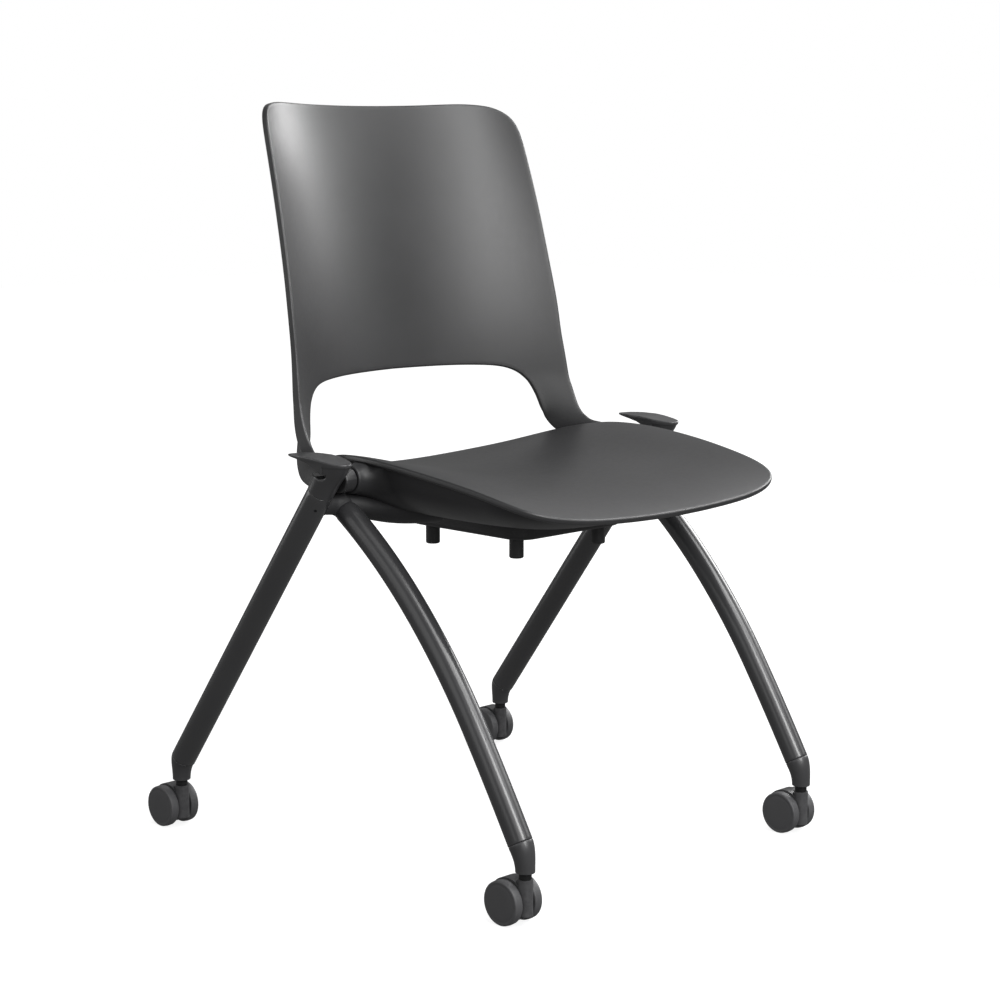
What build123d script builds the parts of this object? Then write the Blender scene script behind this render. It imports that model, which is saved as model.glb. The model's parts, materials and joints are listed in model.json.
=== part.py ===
from build123d import *
import math
import os

# ---------------------------------------------------------------------------
# Nesting chair.  Millimetres, +Z up, floor at Z = 0, the chair faces -Y and is
# symmetric about X = 0.  Shapes are drawn with the front castor stems at Y = 0
# and moved at the end so that the origin is the centre of the footprint.
# ---------------------------------------------------------------------------

# driving dimensions
HALF_FRONT = 237.0        # front leg planes
HALF_REAR = 273.5         # rear leg planes
WHEELBASE = 549.0         # stem to stem
MID_Y = 291.4              # centre of the footprint

REAR_TUBE_R, REAR_WALL = 15.0, 2.0
FRONT_TUBE_R, FRONT_WALL = 14.0, 2.0
REAR_REF_Y, REAR_REF_Z = 414.9, 262.0      # a point of the rear leg's centreline
REAR_SLOPE = -1.3557                       # dz/dy of the rear leg
SEAM_Z = 88.0                              # where tube and socket meet
REAR_TOP_Z = 441.0                         # top end of the rear tube

FRONT_START = (7.25, 90.0)                 # front leg centreline, lower end (y, z)
FRONT_ANGLE = 59.713                       # its slope there, degrees
FRONT_ARCS = ((129.3, 2870.5), (153.24, 841.31), (147.47, 656.64))  # length, radius

STUB_Z, STUB_R = 425.4, 12.9               # stub between front and rear leg

PIVOT_Y, PIVOT_Z = 272.0, 453.0            # seat tipping axis
PIN_R = 5.0
BUSH_R = 8.0
SLEEVE_R = 13.3
RUN = 0.05                                 # running clearance, radial

SET_SCREW_R, SET_SCREW_Z, SET_SCREW_SIDE = 1.8, 428.0, 0.55

ARM_WALL = 3.0
# bowed cross arm: centreline x, y, z and outer radius, from the knuckle inwards
ARM = ((237.0, 289.5, 424.2, 13.4), (221.0, 279.0, 420.8, 13.6), (204.0, 271.0, 417.2, 15.0),
       (180.0, 261.0, 413.6, 16.2), (152.0, 254.0, 411.2, 16.3), (125.0, 251.5, 409.4, 16.0))
ROD_Y, ROD_Z = 251.5, 409.4
KNUCKLE = (290.0, 424.2, 14.2)             # y, z, radius of the ball at the front leg's top
ROD_R = 6.0
BUMPER_R = 12.0

EAR_X = (241.5, 258.4)                     # the ear's inner and outer face
EAR_PTS = ((309.0, 452.0), (307.0, 445.0), (303.0, 440.4), (298.0, 438.8), (290.0, 438.6), (272.0, 439.0),
           (266.0, 440.3), (261.5, 443.6), (258.6, 448.2), (257.6, 453.0), (258.6, 458.0), (261.5, 462.6),
           (266.0, 465.8), (272.0, 467.0), (290.0, 467.3), (300.0, 467.2), (306.0, 464.0), (309.0, 458.0))   # y, z
EAR_DISC = (300.0, 453.0)
# band between the panel and the ear: front face's inner corner, its outer corner, thickness
BAND = (((184.3, 404.0, 517.3), (225.2, 371.3, 517.0), 10.0),
        ((189.6, 399.4, 503.0), (226.2, 366.0, 502.6), 11.8),
        ((194.2, 394.8, 484.0), (227.1, 353.0, 483.2), 14.0),
        ((201.5, 386.5, 466.5), (229.8, 341.8, 473.2), 15.6),
        ((214.0, 369.0, 451.5), (235.0, 330.0, 469.4), 16.5),
        ((229.5, 344.0, 441.6), (239.8, 314.5, 467.8), 16.8),
        ((240.2, 318.0, 438.9), (241.5, 300.0, 467.4), 16.9),
        ((241.5, 294.0, 438.7), (241.5, 287.0, 467.2), 16.9))

SEAT_T = 7.0                               # seat shell thickness
SEAT_K = ((443.65, 1.96, -10.87, 1.71, -5.12, 3.92),
          (31.14, 22.19, -4.59, -9.86, -10.29, -8.26),
          (7.42, 5.11, -5.14, -8.65, -13.87, -6.52),
          (-9.3, -10.02, 2.84, -3.96, -3.64, 0.14))
# half outline of the seat seen from above, from the front centre round to the rear centre
SEAT_OUT = ((0, 0.0), (45, 0.3), (90, 1.1), (125, 2.4), (150, 5.0), (172, 9.6), (190, 16.6),
            (203, 26.0), (211, 38.0), (216.4, 54.0), (219.5, 72.0), (222.6, 104.0),
            (225.5, 137.7), (227.6, 173.0), (228.3, 205.0), (227.5, 235.0), (224.6, 270.0),
            (219, 302.0), (210, 328.0), (198.5, 352.0), (184, 376.0), (166, 398.5),
            (142, 417.5), (110, 430.5), (70, 438.0), (30, 440.8), (0, 441.2))

BACK_T, BACK_T_LOW = 7.2, 9.2              # back shell thickness, upper part and at the legs' tops
BACK_K = ((482.67, 32.15, 4.73, -0.15),
          (-71.85, 25.73, 24.15, -10.86),
          (-8.02, -26.39, -23.04, 9.87))
# half outline of the back seen from the front (x, z), from the top centre down the side
BACK_OUT = ((0, 868.4), (40, 868.7), (60, 869.1), (95, 870.0), (112, 870.7), (128, 871.3),
            (144, 871.7), (158, 871.4), (170, 870.3), (180, 868.3), (189, 864.4),
            (196, 859.0), (201.5, 851.5), (205.2, 841.0), (207.2, 828.0), (208.7, 808.0), (210.6, 777.0),
            (213.3, 728.0), (216.1, 674.0), (219.6, 614.0), (220.8, 580.4), (222.3, 561.0),
            (223.7, 541.2), (224.9, 521.7), (225.3, 515.0))
# half outline of the opening under the panel, from the leg's inside up to the centre
BACK_IN = ((185.6, 515.0), (180.6, 522.6), (173.0, 531.0), (160.0, 538.6),
           (143.0, 542.6), (122.0, 544.4), (95.0, 545.6), (60.0, 546.3), (0, 546.9))

PEG_R, PEG_X, PEG_Y = 8.4, 68.9, (179.6, 319.0)
PEG_BOTTOM = 353.7
TRAY_BOTTOM, TRAY_TOP = 377.5, 397.0
TRAY_X, TRAY_Y0, TRAY_Y1 = 91.0, 151.0, 348.0

WHEEL_R, AXLE_Z, TRAIL = 25.0, 25.0, 18.2
WHEEL_IN, WHEEL_OUT = 9.3, 20.5
STEM_R, AXLE_R = 4.0, 3.0
SOCKET_BOTTOM = 59.3

X_AXIS = (1, 0, 0)


def seat_z(x, y):
    """height of the seat's top surface"""
    u, v = (x / 220.0) ** 2, (y - 220.0) / 220.0
    return sum(k * u ** i * v ** j for i, row in enumerate(SEAT_K) for j, k in enumerate(row))


def back_y(x, z):
    """place of the back's front surface"""
    u, v = (x / 220.0) ** 2, (z - 700.0) / 170.0
    return sum(k * u ** i * v ** j for i, row in enumerate(BACK_K) for j, k in enumerate(row))


def back_t(z):
    """thickness of the back shell, square to its surface"""
    q = min(1.0, max(0.0, (620.0 - z) / 90.0))
    return BACK_T + (BACK_T_LOW - BACK_T) * q * q


def rear_y(z):
    """centreline of the rear leg"""
    return REAR_REF_Y + (z - REAR_REF_Z) / REAR_SLOPE


def one(shape):
    """the single solid of a result"""
    solids = shape.solids()
    return max(solids, key=lambda s: s.volume)


def both(shape):
    """a piece on the sitter's right (-X) and its mirror image on the left"""
    return shape, mirror(shape, about=Plane.YZ)


def cyl(p, q, r):
    """round bar from p to q"""
    a, b = Vector(*p), Vector(*q)
    plane = Plane(origin=a, z_dir=b - a)
    return Solid.extrude(Face(Wire(Edge.make_circle(r, plane))), b - a)


def face_yz(points, x):
    """flat face from (y, z) points in the plane X = x"""
    return Face(Wire.make_polygon([Vector(x, y, z) for y, z in points], close=True))


def prism_x(points, x0, x1):
    return Solid.extrude(face_yz(points, x0), Vector(x1 - x0, 0, 0))


def closed_outline(half):
    """closed smooth outline from its right half; first and last points lie on the centre line"""
    right = [(x, t) for x, t in half]
    left = [(-x, t) for x, t in reversed(half) if x > 0]
    return right + [p for p in left]


# ------------------------------------------------------------------ surfaces
def seat_sheet(drop, x_lim=238.0, y0=-10.0, y1=450.0):
    xs = [-x_lim + 2 * x_lim * i / 24 for i in range(25)]
    ys = [y0 + (y1 - y0) * j / 24 for j in range(25)]
    return Face.make_surface_from_array_of_points(
        [[Vector(x, y, seat_z(x, y) - drop) for y in ys] for x in xs], tol=0.02, min_deg=3, max_deg=6)


def back_sheet(offset):
    """front surface of the back, or the surface behind it by the shell's thickness"""
    rows = []
    for i in range(29):
        x = -240 + 480 * i / 28
        row = []
        for j in range(29):
            z = 480 + 405 * j / 28
            dx = (back_y(x + 0.5, z) - back_y(x - 0.5, z))
            dz = (back_y(x, z + 0.5) - back_y(x, z - 0.5))
            n = Vector(-dx, 1, -dz).normalized() * (back_t(z) if offset else 0.0)
            row.append(Vector(x, back_y(x, z), z) + n)
        rows.append(row)
    return Face.make_surface_from_array_of_points(rows, tol=0.02, min_deg=3, max_deg=6)


def seat_prism(z0, z1):
    pts = closed_outline(SEAT_OUT)
    face = Face(Wire(Edge.make_spline([Vector(x, y, z0) for x, y in pts], periodic=True)))
    return Solid.extrude(face, Vector(0, 0, z1 - z0))


# ------------------------------------------------------------------ the frame
def rear_leg(s):
    a, b = (s * HALF_REAR, rear_y(SEAM_Z), SEAM_Z), (s * HALF_REAR, rear_y(REAR_TOP_Z), REAR_TOP_Z)
    tube = cyl(a, b, REAR_TUBE_R) - cyl(a, b, REAR_TUBE_R - REAR_WALL)
    return one(tube - cyl(*screw_line(s, 12.0, 17.0), SET_SCREW_R))


def front_path():
    """three tangent arcs in the YZ plane"""
    y, z = FRONT_START
    ang = math.radians(FRONT_ANGLE)
    edges, stations = [], [(y, z, ang)]
    for length, radius in FRONT_ARCS:
        turn = length / radius
        cy, cz = y + radius * math.sin(ang), z - radius * math.cos(ang)
        mid, end = ang - turn / 2, ang - turn
        pm = (cy - radius * math.sin(mid), cz + radius * math.cos(mid))
        pe = (cy - radius * math.sin(end), cz + radius * math.cos(end))
        edges.append((Vector(0, y, z), Vector(0, *pm), Vector(0, *pe)))
        y, z = pe
        ang = end
        stations.append((y, z, ang))
    return edges, stations


def front_leg(s):
    edges, stations = front_path()
    shift = Vector(s * HALF_FRONT, 0, 0)
    outer = inner = None
    for a, m, b in edges:
        arc = Edge.make_three_point_arc(a + shift, m + shift, b + shift)
        start = Plane(origin=a + shift, z_dir=arc.tangent_at(0))
        for r in (FRONT_TUBE_R, FRONT_TUBE_R - FRONT_WALL):
            piece = Solid.sweep(Wire(Edge.make_circle(r, start)), path=arc)
            if r == FRONT_TUBE_R:
                outer = piece if outer is None else outer + piece
            else:
                inner = piece if inner is None else inner + piece
    return outer - inner


def socket(s, track, y_stem, y_seam, tube_r, direction):
    """cast end that turns the slanted tube into a vertical castor seat"""
    d = Vector(*direction).normalized()
    seam = Vector(s * track, y_seam, SEAM_Z)
    top = Face(Wire(Edge.make_circle(tube_r - 0.3, Plane(origin=seam, z_dir=d))))
    bot = Face(Wire(Edge.make_circle(10.8, Plane(origin=(s * track, y_stem, SOCKET_BOTTOM), z_dir=(0, 0, 1)))))
    mid_o = Vector(s * track, y_stem + (y_seam - y_stem) * 0.42, SOCKET_BOTTOM + 14)
    mid_d = (d + Vector(0, 0, 1.6)).normalized()
    mid = Face(Wire(Edge.make_circle(12.0, Plane(origin=mid_o, z_dir=mid_d))))
    body = Solid.make_loft([bot.outer_wire(), mid.outer_wire(), top.outer_wire()])
    spigot = cyl(tuple(seam - d * 2), tuple(seam + d * 26), tube_r - 2.1)
    body = body + spigot
    bore = cyl((s * track, y_stem, SOCKET_BOTTOM - 1), (s * track, y_stem, 84.0), STEM_R)
    return one(body - bore)


def stem(s, track, y):
    """castor stem: fixed in the socket, turning fit in the housing"""
    body = cyl((s * track, y, 20.0), (s * track, y, 83.0), STEM_R)
    collar = cyl((s * track, y, 52.4), (s * track, y, SOCKET_BOTTOM), 7.0)
    return one(body + collar)


def junction(s):
    """rounded knuckle on the front leg's top with the short stub that ties it to the rear leg"""
    body = junction_block(s)
    # the rear tube and the front tube keep their own metal
    body = body - cyl((s * HALF_REAR, rear_y(380), 380), (s * HALF_REAR, rear_y(470), 470), REAR_TUBE_R)
    return one(one(body) - front_bar(s))


def front_bar(s):
    """upper arc of the front leg as a full bar"""
    a, m, b = front_path()[0][-1]
    shift = Vector(s * HALF_FRONT, 0, 0)
    arc = Edge.make_three_point_arc(a + shift, m + shift, b + shift)
    start = Plane(origin=a + shift, z_dir=arc.tangent_at(0))
    return Solid.sweep(Wire(Edge.make_circle(FRONT_TUBE_R, start)), path=arc)


def arm_bar(s, grow, first=0):
    """the cross arm's outer form, made larger by grow"""
    wires = []
    for i in range(first, len(ARM)):
        x, y, z, r = ARM[i]
        a, b = ARM[max(i - 1, 0)], ARM[min(i + 1, len(ARM) - 1)]
        run = Vector(s * (b[0] - a[0]), b[1] - a[1], b[2] - a[2])
        wires.append(Wire(Edge.make_circle(r + grow, Plane(origin=(s * x, y, z), x_dir=(0, 0, 1), z_dir=run))))
    return Solid.make_loft(wires)


def arm(s):
    """bowed cross arm, hollow from the knuckle to the solid inner end that holds the rod"""
    room = Solid.make_box(82, 70, 80, Plane(origin=(s * 144 if s > 0 else -226, 220, 380)))
    body = one(arm_bar(s, 0.0) - (arm_bar(s, -ARM_WALL) & room))
    body = one(body - junction_block(s))
    body = one(body - front_bar(s))
    return one(body - cyl((s * 142, ROD_Y, ROD_Z), (s * 100, ROD_Y, ROD_Z), ROD_R))


def junction_block(s):
    """what the knuckle fills"""
    ky, kz, kr = KNUCKLE
    ball = Solid.make_sphere(kr, Plane(origin=(s * HALF_FRONT, ky, kz)))
    y1, z1, _ = front_path()[1][-1]
    link = cyl((s * HALF_FRONT, y1, z1), (s * HALF_FRONT, ky, kz), FRONT_TUBE_R - 0.1)
    stub = cyl((s * HALF_FRONT, ky, kz), (s * HALF_REAR, rear_y(STUB_Z) - 1.0, STUB_Z), STUB_R - 0.1)
    return one(ball + link + stub)


def handle_cap(s):
    """cast top of the rear leg: spigot, web, notch and leaf-shaped pad"""
    x = s * HALF_REAR
    d = Vector(0, 1 / REAR_SLOPE, 1).normalized()
    low = (x, rear_y(REAR_TOP_Z), REAR_TOP_Z)
    top = (x, rear_y(485.0), 485.0)
    post = cyl(low, top, REAR_TUBE_R)
    under = prism_x([(200, 300), (400, 300), (400, 476.2), (300, 476.2), (262, 473.6), (225, 471.0), (200, 470)],
                    x - 40, x + 40)
    post = post & under
    spigot = cyl((x, rear_y(REAR_TOP_Z - 22), REAR_TOP_Z - 22), (x, rear_y(REAR_TOP_Z + 1), REAR_TOP_Z + 1),
                 REAR_TUBE_R - REAR_WALL - 0.02)
    post = one(post) + spigot
    # U-shaped notch behind the web
    notch = prism_x([(258.0, 463.4), (259.3, 460.4), (262.0, 458.2), (265.6, 457.2), (269.5, 457.7),
                     (273.0, 459.4), (310, 459.4), (310, 477.6), (290.0, 476.6), (282.0, 473.2), (270.0, 468.6)],
                    x - 40, x + 40)
    post = one(post - notch)
    # leaf pad
    leaf = [(272.0, 233.6), (279.0, 236.2), (284.6, 241.6), (288.0, 249.0), (289.8, 259.0), (290.6, 272.0),
            (290.4, 288.0), (289.2, 304.0), (286.2, 318.0), (281.4, 328.4), (276.0, 332.2), (270.6, 329.6),
            (264.6, 322.0), (259.4, 311.6), (256.4, 300.0), (255.4, 286.0), (255.4, 272.0), (256.4, 259.0),
            (259.4, 246.6), (264.8, 237.6)]
    wire = Wire(Edge.make_spline([Vector(s * px, py, 460) for px, py in leaf], periodic=True))
    pad = Solid.extrude(Face(wire), Vector(0, 0, 40))
    band = prism_x([(225, 468.4), (262, 472.4), (290, 475.4), (315, 475.6), (340, 475.0),
                    (340, 479.0), (322, 480.7), (306, 481.5), (284, 481.5), (272, 480.3), (258, 478.4), (240, 476.2),
                    (225, 474.6)],
                   x - 40, x + 40)
    pad = one(pad & band)
    body = one(post + pad)
    bore = cyl((s * 255, PIVOT_Y, PIVOT_Z), (s * 284, PIVOT_Y, PIVOT_Z), PIN_R)
    return one(body - bore)


def pivot_pin(s):
    """fixed pin: cap, back ear, then the seat's bush"""
    return cyl((s * 284, PIVOT_Y, PIVOT_Z), (s * 215, PIVOT_Y, PIVOT_Z), PIN_R)


def cross_rod():
    return cyl((-142, ROD_Y, ROD_Z), (142, ROD_Y, ROD_Z), ROD_R)


def bumper(s):
    a, b = (s * 62, ROD_Y, ROD_Z), (s * 80, ROD_Y, ROD_Z)
    return cyl(a, b, BUMPER_R) - cyl(a, b, ROD_R)


# ------------------------------------------------------------------ the back
def back_shell():
    slab = Solid.extrude(back_sheet(False), Vector(0, 40, 0)) - Solid.extrude(back_sheet(True), Vector(0, 60, 0))
    slab = one(slab)
    pts = [(x, z) for x, z in BACK_OUT]
    y0 = 300
    outer = Edge.make_spline([Vector(-x, y0, z) for x, z in reversed(pts)] + [Vector(x, y0, z) for x, z in pts[1:]])
    inn = list(BACK_IN)
    inner = Edge.make_spline([Vector(x, y0, z) for x, z in inn] + [Vector(-x, y0, z) for x, z in reversed(inn[:-1])])
    e1 = Edge.make_line(outer.position_at(1), inner.position_at(0))
    e2 = Edge.make_line(inner.position_at(1), outer.position_at(0))
    prism = Solid.extrude(Face(Wire([outer, e1, inner, e2])), Vector(0, 300, 0))
    panel = one(slab & prism)
    body = panel
    for s in (-1, 1):
        body = body + back_leg(s)
    return one(body)


def outline_x(points, z):
    """x of a half outline at height z"""
    pts = sorted((b, a) for a, b in points)
    for (z0, x0), (z1, x1) in zip(pts, pts[1:]):
        if z0 <= z <= z1:
            return x0 + (x1 - x0) * (z - z0) / (z1 - z0)
    return pts[0][1]


def band_wire(s, inner, outer, run, t):
    """rounded section of the band; the two points are the corners of its front face"""
    a0, a1, d = Vector(*inner), Vector(*outer), Vector(*run)
    a = (a1 - a0).normalized()
    n = d.cross(a).normalized()                      # towards the front
    c, w, r = (a0 + a1) * 0.5 - n * (t / 2), (a1 - a0).length, 0.4 * t

    def at(u, v):
        p = c + a * u + n * v
        return Vector(s * p.X, p.Y, p.Z)
    arcs = []
    for su, sv in ((1, 1), (-1, 1), (-1, -1), (1, -1)):
        u, v = su * (w / 2 - r), sv * (t / 2 - r)
        ends = [at(u + su * r, v), at(u, v + sv * r)]
        if su * sv < 0:
            ends.reverse()
        arcs.append(Edge.make_three_point_arc(ends[0], at(u + su * r * 0.70711, v + sv * r * 0.70711), ends[1]))
    edges = []
    for k in range(4):
        edges += [arcs[k], Edge.make_line(arcs[k] @ 1, arcs[(k + 1) % 4] @ 0)]
    return Wire(edges)


def back_leg(s):
    """lower leg that turns from the panel's edge into a flat ear on the pivot pin"""
    rows = []
    for z in (538.0, 527.0):
        trim = (z - 517.0) * 0.35
        xi, xo = outline_x(BACK_IN, z) + trim, outline_x(BACK_OUT, z) - trim * 0.2
        rows.append(((xi, back_y(xi, z) + 0.3, z), (xo, back_y(xo, z) + 0.3, z), back_t(z) + 0.3))
    rows += BAND
    mids = [Vector(*a) * 0.5 + Vector(*b) * 0.5 for a, b, _ in rows]
    secs = []
    for i, (a, b, t) in enumerate(rows):
        run = mids[min(i + 1, len(mids) - 1)] - mids[max(i - 1, 0)]
        secs.append(band_wire(s, a, b, tuple(run), t))
    leg = Solid.make_loft(secs)
    ear = prism_x(EAR_PTS, min(s * EAR_X[0], s * EAR_X[1]), max(s * EAR_X[0], s * EAR_X[1]))
    body = one(leg + ear)
    y, z = EAR_DISC
    body = one(body - cyl((s * (EAR_X[1] - 0.8), y, z), (s * 264, y, z), 6.5))
    return one(body - cyl((s * 230, PIVOT_Y, PIVOT_Z), (s * 262, PIVOT_Y, PIVOT_Z), PIN_R))


def ear_disc(s):
    """round cover disc on the ear's outer face"""
    y, z = EAR_DISC
    return cyl((s * (EAR_X[1] - 0.8), y, z), (s * (EAR_X[1] + 0.9), y, z), 6.5)


def screw_line(s, r0, r1):
    """two points on the set screw's axis, r0 and r1 from the leg's centreline"""
    c = Vector(s * HALF_REAR, rear_y(SET_SCREW_Z), SET_SCREW_Z)
    d = Vector(0, 1 / REAR_SLOPE, 1).normalized()
    n = Vector(s * SET_SCREW_SIDE, -1.0, 0.0)
    n = (n - d * n.dot(d)).normalized()
    return tuple(c + n * r0), tuple(c + n * r1)


def set_screw(s):
    """small flush screw in the front of the rear leg, at the stub"""
    return cyl(*screw_line(s, REAR_TUBE_R - REAR_WALL + 0.1, REAR_TUBE_R - 0.1), SET_SCREW_R)


# ------------------------------------------------------------------ the seat
def seat_shell():
    slab = Solid.extrude(seat_sheet(0), Vector(0, 0, -SEAT_T))
    return one(slab & seat_prism(380, 520))


BELLY = (  # y, half width at top, top z, bottom z
    (26, 150, 433, 414.0), (60, 196, 452, 404.0), (105, 211, 464, 397.5), (160, 215, 470, 395.2),
    (235, 217, 474, 395.0), (300, 209, 474, 395.0), (345, 190, 472, 396.5), (385, 160, 462, 405.0),
    (418, 110, 450, 421.0))


def belly_wire(y, a, zt, zb, inset):
    a, zb = a - inset, zb + inset
    n = 10
    pts = []
    for i in range(-n, n + 1):
        t = i / n * math.pi / 2
        x = a * math.copysign(abs(math.sin(t)) ** (2 / 2.9), t)
        z = zt - (zt - zb) * abs(math.cos(t)) ** (2 / 2.9)
        pts.append(Vector(x, y, z))
    curve = Edge.make_spline(pts)
    return Wire([curve, Edge.make_line(pts[-1], pts[0])])


def pivot_sweep(profile, start, arc):
    """ring sector about the seat axis: profile points are (x, r)"""
    face = Face(Wire.make_polygon([Vector(x, PIVOT_Y + r, PIVOT_Z) for x, r in profile], close=True))
    axis = Axis((0, PIVOT_Y, PIVOT_Z), X_AXIS)
    face = face.rotate(axis, start)
    return Solid.revolve(face, arc, axis)


def under_cover():
    """moulded hull under the seat, open in the middle for the tray and at the sides for the arms"""
    outer = Solid.make_loft([belly_wire(*b, 0.0) for b in BELLY])
    core = [(y + (2.5 if i == 0 else -2.5 if i == len(BELLY) - 1 else 0), a, zt + 2, zb)
            for i, (y, a, zt, zb) in enumerate(BELLY)]
    inner = Solid.make_loft([belly_wire(*b, 3.0) for b in core])
    shell = one(outer - inner)
    # everything above the seat shell's underside goes
    above = Solid.extrude(seat_sheet(SEAT_T), Vector(0, 0, 120))
    shell = one(shell - above)
    # opening for the tray
    mouth = tray_block(0.0, 370.0, 430.0)
    shell = one(shell - mouth)
    # room for the arms and rod over the whole tipping range
    for s in (-1, 1):
        prof = [(s * 60, 36), (s * 122, 36), (s * 123, 29.4), (s * 152, 26.4), (s * 180, 21.8), (s * 193, 19.3),
                (s * 193, 57.4), (s * 180, 60.2), (s * 152, 64.6), (s * 123, 67.2), (s * 122, 56), (s * 60, 56)]
        shell = one(shell - pivot_sweep(prof, -146.5, 150.0))
        prof = [(s * 192.9, 19.3), (s * 204, 17.8), (s * 221, 16.6), (s * 262, 16.6), (s * 262, 51.4),
                (s * 237, 51.4), (s * 221, 50.2), (s * 204, 53.9), (s * 192.9, 57.4)]
        shell = one(shell - pivot_sweep(prof, -146.5, 193.0))
        shell = one(shell - arm_bar(s, 2.2))
        shell = one(shell - cyl((s * 200, PIVOT_Y, PIVOT_Z), (s * 245, PIVOT_Y, PIVOT_Z), SLEEVE_R))
        shell = one(shell - pivot_bracket(s))
    return shell


def tray_block(grow, z0, z1):
    w, h = 2 * (TRAY_X + grow), TRAY_Y1 - TRAY_Y0 + 2 * grow
    plane = Plane(origin=(0, (TRAY_Y0 + TRAY_Y1) / 2, z0))
    sk = (plane * RectangleRounded(w, h, 26 + grow)).face()
    return Solid.extrude(sk, Vector(0, 0, z1 - z0))


def tray():
    """lower tray, carries the pegs; two ribs stop the seat on the rod's rubber sleeves"""
    body = tray_block(0, TRAY_BOTTOM, TRAY_TOP)
    body = body.fillet(5.0, [e for e in body.edges() if abs(e.center().Z - TRAY_BOTTOM) < 0.01])
    body = body - tray_block(-3.0, TRAY_BOTTOM + 3.0, TRAY_TOP + 1)
    for s in (-1, 1):
        for y in PEG_Y:
            body = body - cyl((s * PEG_X, y, TRAY_BOTTOM - 1), (s * PEG_X, y, TRAY_BOTTOM + 4), 4.0)
    for s in (-1, 1):
        face_y = ROD_Y - BUMPER_R - 0.25
        rib = prism_x([(face_y - 16, TRAY_BOTTOM + 2.0), (face_y + 2.0, TRAY_BOTTOM + 2.0),
                       (face_y + 2.0, 392.0), (face_y, 400.0), (face_y, 414.0), (face_y - 5, 414.0), (face_y - 16, 396.0)],
                      min(s * 63, s * 79), max(s * 63, s * 79))
        body = body + rib
    return one(body)


def peg(s, y):
    """rubber nesting peg with a snap-in neck"""
    x = s * PEG_X
    body = cyl((x, y, PEG_BOTTOM), (x, y, TRAY_BOTTOM), PEG_R)
    body = body.fillet(2.0, [e for e in body.edges() if abs(e.center().Z - PEG_BOTTOM) < 0.01])
    neck = cyl((x, y, TRAY_BOTTOM - 1), (x, y, TRAY_BOTTOM + 3), 4.0)
    head = cyl((x, y, TRAY_BOTTOM + 3), (x, y, TRAY_BOTTOM + 5.5), 6.0)
    return one(body + neck + head)


def pivot_bracket(s):
    """pivot sleeve with a plate that follows the shell's underside"""
    sleeve = cyl((s * 240.5, PIVOT_Y, PIVOT_Z), (s * 213, PIVOT_Y, PIVOT_Z), SLEEVE_R)
    plate = Solid.extrude(seat_sheet(SEAT_T), Vector(0, 0, -4.0))
    x0, x1 = sorted((s * 150, s * 221))
    window = Solid.make_box(x1 - x0, 96, 200, Plane(origin=(x0, 172, 380)))
    plate = one(plate & window)
    web = prism_x([(266, 445), (266, 470), (232, 470), (200, 468), (200, 460), (240, 448)],
                  min(s * 216, s * 220), max(s * 216, s * 220))
    web = web - Solid.extrude(seat_sheet(SEAT_T), Vector(0, 0, 120))
    body = one(sleeve + plate + one(web))
    above = Solid.extrude(seat_sheet(SEAT_T), Vector(0, 0, 120))
    body = one(body - above)
    return one(body - cyl((s * 242, PIVOT_Y, PIVOT_Z), (s * 212, PIVOT_Y, PIVOT_Z), BUSH_R))


def pivot_bush(s):
    a, b = (s * 240.5, PIVOT_Y, PIVOT_Z), (s * 216, PIVOT_Y, PIVOT_Z)
    return cyl(a, b, BUSH_R) - cyl(a, b, PIN_R + RUN)


def cover_screws():
    out = []
    for s in (-1, 1):
        for y in (205.0, 293.0):
            a = (s * 78.0, y, TRAY_BOTTOM - 1.2)
            b = (s * 78.0, y, TRAY_BOTTOM + 0.0)
            out.append(cyl(a, b, 4.0))
    return out


# ------------------------------------------------------------------ castors
def castor(s, track, y):
    """housing, axle and two wheels of one castor"""
    cx, ay = s * track, y + TRAIL
    boss = cyl((cx, y, 12.0), (cx, y, 52.0), 8.65)
    core = Solid.extrude(Face(Wire(Edge.make_circle(26.4, Plane(origin=(cx - 8.9, ay, AXLE_Z), z_dir=X_AXIS)))), Vector(17.8, 0, 0))
    keep = prism_x([(y - 0.0, 9.0), (ay + 12, 9.0), (ay + 26.6, 22.0), (ay + 26.6, 40.0), (ay + 14, 52.5),
                    (y + 0.0, 51.0)], cx - 12, cx + 12)
    core = one(core & keep)
    housing = one(boss + core)
    housing = one(housing - cyl((cx, y, 10.0), (cx, y, 53.0), STEM_R + RUN))
    housing = one(housing - cyl((cx - 12, ay, AXLE_Z), (cx + 12, ay, AXLE_Z), AXLE_R))
    axle = cyl((cx - 18.6, ay, AXLE_Z), (cx + 18.6, ay, AXLE_Z), AXLE_R)
    wheels = []
    for side in (-1, 1):
        a, b = (cx + side * WHEEL_IN, ay, AXLE_Z), (cx + side * WHEEL_OUT, ay, AXLE_Z)
        w = cyl(a, b, WHEEL_R)
        rim_out = [e for e in w.edges() if abs(e.center().X - b[0]) < 0.01]
        rim_in = [e for e in w.edges() if abs(e.center().X - a[0]) < 0.01]
        w = w.fillet(4.2, rim_out).fillet(1.2, rim_in) if rim_in else w.fillet(4.2, rim_out)
        w = w - cyl((cx + side * 9.0, ay, AXLE_Z), (cx + side * 18.7, ay, AXLE_Z), AXLE_R + RUN)
        wheels.append(one(w))
    return housing, axle, wheels


# ------------------------------------------------------------------ write out
def save(name, *shapes):
    solids = []
    for shape in shapes:
        for item in (shape if isinstance(shape, (list, tuple)) else [shape]):
            solids.extend(item.solids())
    moved = [sol.moved(Location((0, -MID_Y, 0))) for sol in solids]
    out = moved[0] if len(moved) == 1 else Compound(moved)
    export_step(out, f"parts/{name}.step")


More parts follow.
